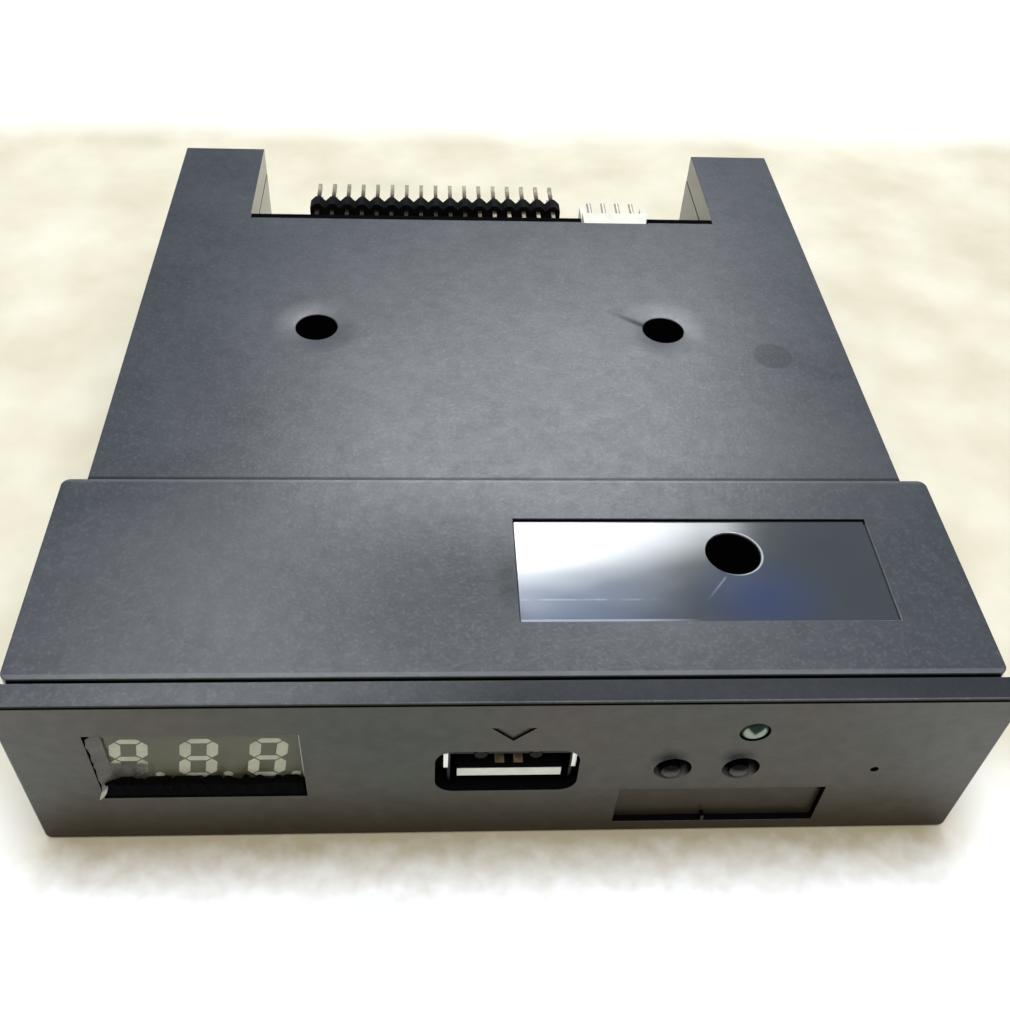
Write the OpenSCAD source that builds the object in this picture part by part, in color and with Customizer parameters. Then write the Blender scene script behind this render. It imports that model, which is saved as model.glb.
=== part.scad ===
// Slim floppy drive emulator: a two-shell plastic case round one circuit board, with a
// three-digit display, a USB socket and two push buttons in front, and a data header and
// a power socket at the back. Sizes are in millimetres. Depths are measured back from the
// front face, and the part's origin is on the floor under the middle of its footprint.

/* [Case] */
// Width of the front panel
bezel_w = 101.6; // [99:0.1:106]
// Height of the front panel
bezel_h = 25.4; // [24.8:0.1:28]
// Thickness of the front panel
panel_t = 2.7; // [2.2:0.1:3.4]
// Radius of the front panel's corners
panel_r = 0.8; // [0.3:0.1:2]
// Inset of the cover's raised front section from the panel's ends
collar_in = 0.6; // [0.2:0.1:1.4]
// Depth from the front face to the back of the raised section
collar_end = 31; // [28:0.5:36]
// Drop from the raised section to the rest of the cover
collar_drop = 0.9; // [0.4:0.1:1.6]
// Corner radius of the raised section in plan
collar_r = 1; // [0.4:0.1:2]
// Seam between the front panel and the cover
collar_gap = 0.5; // [0.2:0.05:0.6]
// Depth of the lip under the cover's front edge, below its roof
collar_lip = 1; // [0.4:0.1:1.2]
// Inset of the rest of the cover from the panel's ends
body_in = 3; // [2:0.1:4]
// Depth from the front face to the tips of the rear horns
case_l = 109.2; // [106:0.1:112]
// Width of a rear horn
horn_w = 12.5; // [11:0.1:14]
// Length of the rear horns
notch_l = 19.7; // [18:0.1:22]
// Thickness of the side walls
wall_t = 2; // [1.4:0.1:2.4]
// Thickness of the floor
floor_t = 2; // [1.4:0.1:3]
// Thickness of the roof
roof_t = 2; // [1.6:0.1:2.2]
// Height of the cover's sides, down from the panel's top
cover_h = 5.4; // [5:0.1:6.4]
// Open seam between the two shells
seam_gap = 0.2; // [0.1:0.05:0.4]
// Inset of the lower shell's sides from the cover's
lower_inset = 0.4; // [0.2:0.1:0.8]
// Inset of the lower shell's horns from the cover's notch
horn_step = 0; // [0:0.1:1.5]

/* [Side mounting] */
// Height of the side rails
rail_h = 8; // [7:0.5:9]
// Distance from the end of a side rail to the tip of a horn
rail_short = 13.2; // [8:0.1:18]
// Length of the sloped end of a side rail
rail_taper = 4; // [1:0.5:6]
// Bore of the side screw holes
side_hole_d = 2.5; // [2:0.1:3.2]
// Distance from the panel's back to the first side hole
side_hole_first = 21; // [18:0.5:25]
// Distance between the two holes on a side
side_hole_pitch = 60; // [50:0.5:62]
// Height of the side holes
side_hole_z = 5; // [4.6:0.1:5.4]
// Width of the pads inside the side holes
side_pad_w = 8; // [6:0.5:10]

/* [Case screws] */
// Distance of the rear screw wells from the middle
rear_well_x = 23.6; // [20:0.1:27]
// Distance of the rear screw wells in front of the notch
rear_well_back = 28; // [24:0.1:32]
// Bore of the rear screw wells
rear_well_d = 5.6; // [5.4:0.05:6.4]
// Place of the front screw well, to the right of the middle
front_well_x = 25.1; // [23.6:0.1:27]
// Depth of the front screw well
front_well_y = 19.8; // [19:0.1:21]
// Bore of the front screw well
front_well_d = 6.05; // [5.4:0.05:6.6]
// Wall of a screw well
well_wall = 1.4; // [1:0.1:2]
// Floor of a screw well under the screw's head
well_floor = 3; // [2:0.1:4]
// Diameter of the shallow dish round a rear well
dish_d = 13; // [9:0.5:16]
// Depth of that dish
dish_depth = 0.25; // [0.1:0.05:0.5]
// Diameter of a screw's thread
screw_d = 2.9; // [2.4:0.1:3]
// Length of a screw under its head
screw_l = 9.4; // [7:0.1:9.6]
// Diameter of a screw's head
screw_head_d = 5; // [4.4:0.1:5.2]
// Height of a screw's head
screw_head_h = 2; // [1.4:0.1:2.6]
// Width of the cross recess in a screw's head
screw_cross = 0.7; // [0.4:0.1:1]
// Clearance round a screw in the cover and the board
screw_gap = 0.25; // [0.1:0.05:0.4]
// Diameter of the bosses under the board
boss_d = 7; // [6:0.1:8]

/* [Label] */
// Middle of the label recess, to the right of the middle
label_x = 21; // [19:0.1:23]
// Depth of the middle of the label recess
label_y = 17.4; // [16.4:0.1:18.4]
// Width of the label recess
label_w = 40.2; // [36:0.1:44]
// Length of the label recess
label_l = 14.6; // [12:0.1:16]
// Depth of the label recess
label_depth = 0.5; // [0.4:0.1:1]
// Thickness of the glossy film in the recess
label_t = 0.15; // [0.1:0.05:0.3]
// Gap round the film
label_gap = 0.1; // [0.05:0.05:0.3]

/* [Display] */
// Distance from the panel's left end to the middle of the display
display_in = 18.7; // [18:0.1:20]
// Distance from the panel's top to the middle of the display
display_drop = 11.2; // [10.8:0.1:11.6]
// Width of the display module
display_w = 21; // [20:0.1:22]
// Height of the display module
display_h = 10; // [9.4:0.1:10.6]
// Depth of the display module
display_d = 6.1; // [5:0.1:7]
// Recess of the display's face behind the front face
display_set = 1.2; // [0.8:0.1:1.8]
// Height of the window in the front panel
window_h = 11.8; // [11:0.1:12.6]
// Gap at each side of the display in its window
window_gap = 0.15; // [0.1:0.05:0.3]
// Height of a digit
digit_h = 7.2; // [6.4:0.1:7.4]
// Width of a digit
digit_w = 3.9; // [3.4:0.1:4.1]
// Distance between digits
digit_pitch = 7.1; // [6.6:0.05:7.2]
// Slant of the digits in degrees
digit_slant = 9; // [0:1:12]
// Width of an upright segment
segment_w = 1.15; // [0.7:0.05:1.2]
// Height of a level segment
level_h = 0.8; // [0.6:0.05:1]
// Diameter of the point beside a digit
point_d = 0.95; // [0.6:0.05:1.1]
// Depth of a segment in the module
segment_t = 0.4; // [0.2:0.1:0.8]
// Thickness of the film over the display
film_t = 0.1; // [0.05:0.05:0.2]
// Height of the black strip under the digits
seal_h = 2.1; // [1:0.05:2.2]
// Thickness of that strip
seal_t = 1; // [0.2:0.05:1.1]
// Thickness of the display's own board
display_board_t = 1.2; // [0.8:0.1:1.6]
// Distance from the panel's top to the top of the display's own board
display_board_drop = 5.4; // [5:0.1:6.4]
// Margin of that board past the display at each side
display_board_side = 3.2; // [2.4:0.1:3.4]

/* [USB socket] */
// Middle of the socket, to the right of the middle
usb_x = 0; // [-1:0.1:1]
// Height of the socket's middle over the board
usb_rise = 3.4; // [3.2:0.1:3.6]
// Width of the socket's steel shell
usb_shell_w = 13.2; // [13:0.1:13.6]
// Height of the steel shell
usb_shell_h = 5.8; // [5.6:0.1:6]
// Thickness of the shell's sheet
usb_shell_t = 0.3; // [0.2:0.05:0.4]
// Length of the shell
usb_shell_l = 14; // [13:0.1:15]
// Recess of the shell behind the front face
usb_set = 0.9; // [0.3:0.1:1.4]
// Width of the tongue
usb_tongue_w = 11.1; // [10.8:0.1:11.3]
// Thickness of the tongue
usb_tongue_t = 1.4; // [1.3:0.02:1.9]
// Spread of the shell's flared side lips past its sides
usb_flare = 0.4; // [0.2:0.05:0.5]
// Width of the opening in the front panel
usb_open_w = 15.1; // [14.6:0.1:16]
// Height of that opening
usb_open_h = 7.7; // [7.4:0.1:8.2]
// Corner radius of that opening
usb_open_r = 2; // [1:0.1:2.6]
// Distance of the opening's middle to the left of the socket's
usb_open_side = 0.35; // [0:0.05:0.35]

/* [Buttons and lamp] */
// Place of the left button, to the right of the middle
left_button_x = 17.2; // [16.6:0.1:17.4]
// Place of the right button, to the right of the middle
right_button_x = 24.5; // [24.2:0.1:25]
// Height of the button holes over the board
button_rise = 4; // [3.8:0.1:4.2]
// Bore of the button holes
button_hole_d = 4; // [3.9:0.1:4.4]
// Diameter of a plunger
plunger_d = 2.2; // [2:0.1:2.6]
// Drop of a plunger below the middle of its hole
plunger_drop = 0.45; // [0:0.05:0.45]
// Distance of a plunger to the left of the middle of its hole
plunger_side = 0.15; // [0:0.05:0.5]
// Height of a plunger's end proud of the front face
plunger_out = 0.3; // [0.2:0.05:0.8]
// Travel of a plunger
plunger_travel = 0.25; // [0.2:0.05:0.3]
// Running clearance round a plunger in its switch
plunger_gap = 0.08; // [0.04:0.01:0.1]
// Width of a switch
switch_w = 6; // [5.6:0.1:6.2]
// Length of a switch
switch_l = 3.6; // [3.4:0.1:4]
// Diameter of the lamp
led_d = 3; // [2.8:0.1:3.2]
// Distance from the panel's top to the middle of the lamp
led_drop = 5.55; // [5:0.05:6]
// Clearance round the lamp in the front panel
led_gap = 0.1; // [0.05:0.05:0.2]
// Recess of the lamp's tip behind the front face
led_set = 0.15; // [0:0.05:0.6]

/* [Front panel details] */
// Middle of the blanked opening, to the right of the middle
blank_x = 23.4; // [22:0.1:25]
// Width of the blanked opening
blank_w = 22.7; // [20:0.1:25]
// Height of the blanked opening's lower edge
blank_z = 2; // [1.6:0.1:2.6]
// Height of the blanked opening
blank_h = 7; // [6:0.1:7.4]
// Depth to which the blank is set back
blank_depth = 0.8; // [0.4:0.1:1.2]
// Width of the bridge across the blank's lower edge
bridge_w = 0.35; // [0.3:0.05:1]
// Height of that bridge
bridge_h = 0.9; // [0.4:0.1:1.2]
// Distance of the bridge to the left of the blank's middle
bridge_side = 1.2; // [0:0.1:4]
// Place of the moulded pip, to the right of the middle
pip_x = 39.1; // [37:0.1:41]
// Height of the moulded pip
pip_z = 12.5; // [11:0.1:14]
// Diameter of the moulded pip
pip_d = 0.9; // [0.6:0.1:1.4]
// Width of the arrow over the socket
arrow_w = 4.6; // [3:0.1:6]
// Depth of the arrow
arrow_depth = 0.25; // [0.1:0.05:0.4]

/* [Main board] */
// Thickness of the main board
board_t = 1.6; // [1.2:0.1:1.8]
// Height of the board's underside over the floor
board_gap = 5.4; // [5:0.1:5.6]
// Inset of the main board from the cover's sides
board_side = 3.2; // [2.8:0.1:4]
// Gap between the main board and the horns
board_tail_side = 0.6; // [0.4:0.1:1.6]
// Depth of the main board's back edge past the horns
board_over = 2.8; // [1:0.1:4]
// Gap between the front panel and the board
board_front_gap = 1.5; // [1:0.1:2]
// Length of pin left under the board
tail_out = 1; // [0.6:0.1:1.4]
// Clearance round a pin in the board
hole_gap = 0.15; // [0.1:0.05:0.2]

/* [Rear connectors] */
// Number of pin columns in the data header
data_columns = 17; // [13:1:17]
// Pitch of the data and jumper pins
pin_pitch = 2.54; // [2.5:0.01:2.56]
// Thickness of a pin
pin_t = 0.64; // [0.5:0.02:0.7]
// Place of the first data pin, to the right of the middle
data_first_x = -27.5; // [-28.5:0.1:-27]
// Depth of the header's plastic block
data_block_d = 2.5; // [2.2:0.1:3]
// Distance of the block's face past the board's edge
data_block_over = 0.5; // [0:0.1:1]
// Length of a data pin behind the block
data_pin_out = 6; // [5:0.1:7]
// Middle of the power socket, to the right of the middle
power_x = 23.85; // [23.4:0.05:25]
// Width of the power socket
power_w = 11.5; // [11:0.1:12]
// Pitch of the power pins
power_pitch = 2.5; // [2.4:0.05:2.54]
// Number of jumper columns
jumper_columns = 7; // [5:1:7]
// Middle of the jumper block, to the right of the middle
jumper_x = -2.5; // [-6:0.1:2]
// Height of a jumper cap
jumper_cap_h = 6; // [5:0.1:6.4]

/* [Hidden] */
$fn = 64;
cut = 1;
case_colour = [0.27, 0.28, 0.30];

function span(middle, width) = [middle - width / 2, middle + width / 2];

collar_w = bezel_w - 2 * collar_in;
body_w = bezel_w - 2 * body_in;
notch_w = body_w - 2 * horn_w;
lower_w = body_w - 2 * lower_inset;
body_top = bezel_h - collar_drop;
collar_y = panel_t + collar_gap;
notch_y = case_l - notch_l;
seam_z = bezel_h - cover_h;
cover_z = seam_z + seam_gap;
fit_gap = 0.03;
chip_gap = 0.1;

board_w = body_w - 2 * board_side;
board_tail_w = notch_w - 2 * board_tail_side;
board_z = floor_t + board_gap;
board_top = board_z + board_t;
board_y = panel_t + board_front_gap;
board_end = case_l + board_over;
tail_z = board_z - tail_out;
data_face = board_end + data_block_over;
overall_l = data_face + data_pin_out;

rail_end = case_l - rail_short;
side_hole_y = [panel_t + side_hole_first, panel_t + side_hole_first + side_hole_pitch];
rear_well_y = notch_y - rear_well_back;
cross_reach = 0.6;
well_seat = board_top + well_floor;
wells = [[-rear_well_x, rear_well_y, rear_well_d], [rear_well_x, rear_well_y, rear_well_d],
         [front_well_x, front_well_y, front_well_d]];
rear_wall_gap = 1.5;
tab_front = 11;
tab_back = 13.5;
tab_y = [collar_end + tab_front, notch_y - tab_back];
tab_l = 8;
tab_t = 1.2;
tab_h = 3;
tab_gap = 0.15;
post_d = 5;
post_in = 6.6;
post_front = 9;
post_back = 9.5;
post_tail_in = 2.7;
post_middle_x = 10;
post_middle_back = 1;
post_side_x = board_w / 2 - post_in;
post_tail_x = board_tail_w / 2 - post_tail_in;
post_places = [[-post_side_x, collar_end + post_front], [post_side_x, collar_end + post_front],
               [-post_side_x, notch_y - post_back], [post_side_x, notch_y - post_back],
               [-post_middle_x, collar_end - post_middle_back], [post_middle_x, collar_end - post_middle_back],
               [-post_tail_x, notch_y + post_back], [post_tail_x, notch_y + post_back]];
relief_l = 1.3;
relief_w = 10.2;
relief_side = 3.8;

display_x = display_in - bezel_w / 2;
display_z = bezel_h - display_drop;
window_w = display_w + 2 * window_gap;
window_rise = 0.1;
window_z = display_z + window_rise;
window_low = window_z - window_h / 2;
segment_gap = 0.25;
point_side = 0.4;
digit_left = 0.2;
display_back = display_set + display_d;
display_board_y = display_back + chip_gap;
display_board_back = display_board_y + display_board_t;
display_board_w = display_w + 2 * display_board_side;
display_board_h = bezel_h - floor_t - display_board_drop;
display_pin_d = 0.5;
display_pin_rows = 7.62;
display_pin_columns = 6;
guide_t = 2;
guide_gap = 0.1;
guide_bite = 0.8;
guide_drop = 9.4;
guide_h = bezel_h - guide_drop;
corner_gap = 6;
corner_side = 3;
corner_y = display_board_back + corner_gap;
corner_x = display_x + display_board_w / 2 + corner_side;

driver_w = 10;
driver_h = 3.9;
driver_t = 1.5;
driver_side_leads = 8;
driver_lead_pitch = 1.2;
driver_lead_w = 0.4;
driver_lead_t = 0.3;
driver_lead_l = 0.6;
driver_gap = 0.3;
driver_z = floor_t + driver_gap + driver_lead_l + driver_h / 2;
lead_wires = 4;
lead_pitch = 2;
lead_d = 1.3;
lead_bend = 2.6;
socket_side = 1.2;
socket_w = lead_wires * lead_pitch + 2 * socket_side;
socket_t = 4.6;
socket_l = 3;
plug_l = 2.2;
plug_in = 0.5;
lead_start = display_board_back + socket_l + plug_l;
lead_z = display_z;
lead_y = lead_start + 3 * lead_bend;

usb_z = board_top + usb_rise;
usb_open_rise = 0.5;
usb_open_z = usb_z + usb_open_rise;
usb_open_x = usb_x - usb_open_side;
usb_end = usb_set + usb_shell_l;
usb_inner_w = usb_shell_w - 2 * usb_shell_t;
usb_inner_h = usb_shell_h - 2 * usb_shell_t;
usb_low = usb_z - usb_shell_h / 2;
usb_base_l = 5;
usb_base_y = usb_end - usb_base_l;
usb_tongue_drop = 0.45;
usb_tongue_top = usb_z - usb_tongue_drop;
usb_tongue_set = 0.1;
usb_tongue_y = usb_set + usb_tongue_set;
usb_contact_inner = 1;
usb_contact_outer = 3.5;
usb_contact_x = [-usb_contact_outer, -usb_contact_inner, usb_contact_inner, usb_contact_outer];
usb_contact_w = 1;
usb_contact_t = 0.25;
usb_contact_set = 0.7;
usb_contact_y = usb_tongue_y + usb_contact_set;
usb_tail_out = 0.5;
usb_tail_y = usb_end + usb_tail_out;
usb_tab_in = 5.2;
usb_tab_y = usb_set + usb_tab_in;
usb_tab_l = 1.6;
usb_lip_cut = 2.4;
usb_lip_side = 0.5;
usb_flare_low = 0.2;
usb_flare_z = [usb_z - usb_flare_low, usb_z + usb_shell_h / 2 - usb_shell_t];
usb_nub_d = 1.3;
usb_nub_x = 2.85;
usb_nub_rise = 0.1;
arrow_rise = 2;

button_z = board_top + button_rise;
plunger_z = button_z - plunger_drop;
switch_gap = 1.7;
switch_y = panel_t + switch_gap;
switch_wall = 0.8;
switch_cavity_d = 4.6;
switch_top = plunger_z + switch_w / 2;
flange_d = 3.9;
flange_t = 0.9;
flange_gap = 0.05;
nub_d = 1.4;
nub_l = 0.4;
dome_rise = 0.42;
dome_t = 0.1;
dome_gap = 0.18;
switch_cavity_l = flange_gap + flange_t + nub_l + plunger_travel + dome_gap + dome_rise;
bracket_t = 0.25;
bracket_l = 2;
button_places = [left_button_x - plunger_side, right_button_x - plunger_side];

led_side = 0.1;
led_x = right_button_x + led_side;
led_z = bezel_h - led_drop;
led_l = 5;
led_flange_out = 0.3;
led_flange_d = led_d + 2 * led_flange_out;
led_flange_t = 0.9;
led_end = led_set + led_l;
led_pitch = 2.54;
led_wire_d = 0.5;
holder_gap = 0.5;
holder_y = switch_y + switch_l + holder_gap;
holder_l = 4;
holder_w = 5;
led_tail_gap = 0.4;
led_tail_y = holder_y + holder_l + led_tail_gap;

data_low_z = board_top + pin_pitch / 2;
data_tail = 2.6;
data_tail_y = data_face - data_block_d - data_tail;
data_rows = [[data_low_z, data_tail_y], [data_low_z + pin_pitch, data_tail_y - pin_pitch]];
power_pin_rise = 2.4;
power_pin_z = board_top + power_pin_rise;
power_h = 5;
power_cheek_h = 3.6;
power_wall = 0.9;
power_l = 7.6;
power_base_l = 3.5;
power_over = 0.6;
power_face = board_end + power_over;
power_y = power_face - power_l;
power_tail = 2;
power_tail_y = power_y - power_tail;
power_pin_out = 3;
power_pin_end = power_face + power_pin_out;
power_pin_d = 0.8;
power_pin_x = [for (i = [-1.5:1.5]) power_x + i * power_pitch];
jumper_back = 6.5;
jumper_y = notch_y + jumper_back;
jumper_block_h = 2.5;
jumper_pin_up = 6;
jumper_caps_at = [0, 4];
jumper_cap_gap = 0.15;
jumper_top = board_top + jumper_block_h + jumper_pin_up;

chip_w = 10;
chip_t = 1.4;
chip_x = 0;
chip_back = 17;
chip_y = collar_end + chip_back;
chip_z = [board_top + chip_gap, board_top + chip_gap + chip_t];
chip_lead_pitch = 0.8;
chip_side_leads = 11;
chip_lead_w = 0.35;
chip_lead_t = 0.15;
chip_lead_reach = 1;
buffer_x = -8;
buffer_front = 10.5;
buffer_y = notch_y - buffer_front;
buffer_l = 8.7;
buffer_w = 3.9;
buffer_side_leads = 7;
can_in = 11.6;
can_front = 12.5;
can_pitch = 9;
can_x = board_w / 2 - can_in;
can_places = [[can_x, notch_y - can_front], [can_x, notch_y - can_front - can_pitch]];
can_d = 6.3;
can_h = 7.4;
can_base_w = 6.6;
can_base_h = 0.8;
regulator_x = 17;
regulator_front = 11.5;
regulator_y = notch_y - regulator_front;
regulator_w = 6.5;
regulator_l = 3.5;
regulator_pitch = 2.3;
crystal_side = 15;
crystal_x = chip_x - crystal_side;
crystal_y = chip_y - chip_lead_reach;
crystal_l = 6.3;
crystal_w = 3.9;
crystal_h = 3.6;
crystal_foot_w = 4.7;
crystal_foot_h = 0.5;
part_l = 2;
part_w = 1.25;
part_h = 0.55;
part_step = 3.6;
part_row = 8;
part_side = 10.5;
part_x = chip_x - (part_row - 1) / 2 * part_step;

// Puts what is drawn from the front face into the part's own frame.
module seat() {
    translate([0, (plunger_out - overall_l) / 2, 0])
        children();
}

module box(x, y, z) {
    translate([x[0], y[0], z[0]])
        cube([x[1] - x[0], y[1] - y[0], z[1] - z[0]]);
}

module rod_x(y, z, d, x) {
    translate([x[0], y, z])
        rotate([0, 90, 0])
            cylinder(d = d, h = x[1] - x[0]);
}

module rod_y(x, z, d, y) {
    translate([x, y[0], z])
        rotate([-90, 0, 0])
            cylinder(d = d, h = y[1] - y[0]);
}

module rod_z(x, y, d, z) {
    translate([x, y, z[0]])
        cylinder(d = d, h = z[1] - z[0]);
}

module mirror_copy() {
    children();
    mirror([1, 0, 0])
        children();
}

module round_rect(w, h, r) {
    square([w - 2 * r, h], center = true);
    square([w, h - 2 * r], center = true);
    for (sx = [-1, 1])
        for (sy = [-1, 1])
            translate([sx * (w / 2 - r), sy * (h / 2 - r)])
                circle(r);
}

// A block with rounded corners in plan, across the middle of the case.
module plan_block(w, y, z, r) {
    translate([0, (y[0] + y[1]) / 2, z[0]])
        linear_extrude(z[1] - z[0])
            round_rect(w, y[1] - y[0], r);
}

// A flat shape drawn on the front face and pushed back through the given depths.
module face_cut(x, z, y) {
    translate([x, y[1], z])
        rotate([90, 0, 0])
            linear_extrude(y[1] - y[0])
                children();
}

module side_rail() {
    linear_extrude(rail_h)
        polygon([[lower_w / 2 - wall_t, panel_t], [bezel_w / 2, panel_t],
                 [bezel_w / 2, rail_end - rail_taper], [lower_w / 2, rail_end],
                 [lower_w / 2 - wall_t, rail_end]]);
}

module lower_walls() {
    horn_in = notch_w / 2 + horn_step;
    difference() {
        union() {
            face_cut(0, bezel_h / 2, [0, panel_t])
                round_rect(bezel_w, bezel_h, panel_r);
            plan_block(collar_w, [panel_t - collar_r, collar_end], [0, seam_z], collar_r);
            box(span(0, lower_w), [panel_t, case_l], [0, seam_z]);
            mirror_copy()
                side_rail();
        }
        box(span(0, collar_w - 2 * wall_t), [panel_t, collar_end - wall_t], [floor_t, seam_z + cut]);
        box(span(0, lower_w - 2 * wall_t), [panel_t, notch_y - wall_t], [floor_t, seam_z + cut]);
        box(span(0, 2 * horn_in), [notch_y - wall_t - cut, case_l + cut], [floor_t, seam_z + cut]);
        mirror_copy()
            box([horn_in + wall_t, lower_w / 2 - wall_t], [notch_y - wall_t - cut, case_l - wall_t],
                [floor_t, seam_z + cut]);
    }
}

// Pads that give the side screws more thread than the thin front walls would.
module side_pads() {
    mirror_copy()
        for (y = side_hole_y)
            box([lower_w / 2 - wall_t, lower_w / 2], span(y, side_pad_w), [floor_t, rail_h]);
    mirror_copy()
        box([lower_w / 2 - wall_t, collar_w / 2 - wall_t], span(side_hole_y[0], side_pad_w),
            [floor_t, rail_h]);
}

module side_holes() {
    mirror_copy()
        for (y = side_hole_y)
            rod_x(y, side_hole_z, side_hole_d, [lower_w / 2 - wall_t - cut, bezel_w / 2 + cut]);
}

// Two slotted posts that hold the display's own board upright.
module display_guides() {
    board_edge = display_board_w / 2;
    slot = [display_board_y - guide_gap, display_board_back + guide_gap];
    difference() {
        union() {
            box([-collar_w / 2 + wall_t - guide_gap, display_x - board_edge + guide_bite],
                [slot[0] - guide_t, slot[1] + guide_t], [floor_t, guide_h]);
            box([display_x + board_edge - guide_bite, display_x + board_edge + guide_t],
                [slot[0] - guide_t, slot[1] + guide_t], [floor_t, guide_h]);
        }
        box(span(display_x, display_board_w + 2 * guide_gap), slot, [floor_t, guide_h + cut]);
    }
}

module usb_opening() {
    difference() {
        face_cut(usb_open_x, usb_open_z, [-cut, panel_t + cut])
            round_rect(usb_open_w, usb_open_h, usb_open_r);
        for (side = [-1, 1])
            rod_y(usb_open_x + side * usb_nub_x, usb_open_z + (usb_open_h - usb_nub_d) / 2 + usb_nub_rise,
                  usb_nub_d, [0, panel_t]);
    }
}

module panel_openings() {
    box(span(display_x, window_w), [-cut, panel_t + cut], span(window_z, window_h));
    usb_opening();
    for (x = [left_button_x, right_button_x])
        rod_y(x, button_z, button_hole_d, [-cut, panel_t + cut]);
    rod_y(led_x, led_z, led_d + 2 * led_gap, [-cut, panel_t + cut]);
    rod_y(pip_x, pip_z, pip_d, [-cut, pip_d]);
    difference() {
        box(span(blank_x, blank_w), [-cut, blank_depth], [blank_z, blank_z + blank_h]);
        box(span(blank_x - bridge_side, bridge_w), [0, blank_depth], [blank_z, blank_z + bridge_h]);
    }
    face_cut(usb_x, usb_open_z + usb_open_h / 2 + arrow_rise, [-cut, arrow_depth])
        polygon([[-arrow_w / 2, arrow_w / 2], [0, 0], [arrow_w / 2, arrow_w / 2]]);
}

module lower_shell() {
    color(case_colour)
        seat()
            difference() {
                union() {
                    lower_walls();
                    side_pads();
                    display_guides();
                    for (w = wells)
                        rod_z(w[0], w[1], boss_d, [floor_t, board_z]);
                    for (p = post_places)
                        rod_z(p[0], p[1], post_d, [floor_t, board_z]);
                }
                panel_openings();
                side_holes();
                for (w = wells)
                    rod_z(w[0], w[1], screw_d + 2 * fit_gap, [floor_t, board_z + cut]);
            }
}

module cover_walls() {
    horn_in = notch_w / 2;
    difference() {
        union() {
            plan_block(collar_w, [collar_y, collar_end], [cover_z, bezel_h], collar_r);
            box(span(0, body_w), [collar_end - wall_t, case_l], [cover_z, body_top]);
            box(span(0, notch_w + 2 * (horn_step - tab_gap)), [notch_y - wall_t, notch_y],
                [board_top + rear_wall_gap, cover_z]);
        }
        box(span(0, collar_w - 2 * wall_t), [collar_y - cut, collar_end - wall_t],
            [cover_z - cut, bezel_h - roof_t - collar_lip]);
        box(span(0, collar_w - 2 * wall_t), [collar_y + wall_t, collar_end - wall_t],
            [cover_z - cut, bezel_h - roof_t]);
        box(span(0, body_w - 2 * wall_t), [collar_end - wall_t - cut, notch_y - wall_t],
            [cover_z - cut, body_top - roof_t]);
        mirror_copy()
            box([horn_in + wall_t, body_w / 2 - wall_t], [notch_y - wall_t - cut, case_l - wall_t],
                [cover_z - cut, body_top - roof_t]);
        box(span(0, 2 * horn_in), [notch_y, case_l + cut], [0, body_top + cut]);
        box(span(power_x - relief_side, relief_w), [notch_y - relief_l, notch_y + cut], [0, body_top + cut]);
    }
}

// Tabs that hang inside the lower shell's walls and keep the two shells in line.
module cover_tabs() {
    outer = lower_w / 2 - wall_t - tab_gap;
    mirror_copy()
        for (y = tab_y) {
            box([outer - tab_t, outer], span(y, tab_l), [cover_z - tab_h, body_top - roof_t]);
            box([outer - tab_t, body_w / 2 - wall_t], span(y, tab_l), [cover_z + tab_gap, body_top - roof_t]);
        }
}

module upper_shell() {
    color(case_colour)
        seat()
            difference() {
                union() {
                    cover_walls();
                    cover_tabs();
                    for (w = wells)
                        rod_z(w[0], w[1], w[2] + 2 * well_wall, [board_top, body_top - roof_t / 2]);
                }
                box(span(label_x, label_w), span(label_y, label_l), [bezel_h - label_depth, bezel_h + cut]);
                for (w = wells) {
                    rod_z(w[0], w[1], w[2], [well_seat, bezel_h + cut]);
                    rod_z(w[0], w[1], screw_d + 2 * screw_gap, [board_top - cut, well_seat + cut]);
                }
                for (side = [-1, 1])
                    translate([side * rear_well_x, rear_well_y, body_top - dish_depth])
                        cylinder(d1 = rear_well_d, d2 = dish_d, h = dish_depth);
            }
}

module case_screws() {
    color("silver")
        seat()
            for (w = wells)
                difference() {
                    union() {
                        rod_z(w[0], w[1], screw_d, [well_seat - screw_l, well_seat]);
                        rod_z(w[0], w[1], screw_head_d, [well_seat, well_seat + screw_head_h]);
                    }
                    for (turn = [0, 90])
                        translate([w[0], w[1], well_seat + screw_head_h])
                            rotate([0, 0, turn])
                                box(span(0, screw_head_d * cross_reach), span(0, screw_cross),
                                    [-screw_head_h / 2, cut]);
                }
}

module label_film() {
    low = bezel_h - label_depth;
    color([0.16, 0.18, 0.22])
        seat()
            difference() {
                box(span(label_x, label_w - 2 * label_gap), span(label_y, label_l - 2 * label_gap),
                    [low, low + label_t]);
                rod_z(front_well_x, front_well_y, front_well_d + 2 * label_gap,
                      [low - cut, low + label_t + cut]);
            }
}

// One hexagonal segment lying along its own length.
function segment_points(l, w) =
    [[-l / 2, 0], [-l / 2 + w / 2, w / 2], [l / 2 - w / 2, w / 2], [l / 2, 0],
     [l / 2 - w / 2, -w / 2], [-l / 2 + w / 2, -w / 2]];
function turned(points) = [for (p = points) [-p[1], p[0]]];
function slanted(points, at) =
    [for (p = points) [p[0] + at[0] + (p[1] + at[1]) * tan(digit_slant), p[1] + at[1]]];

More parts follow.
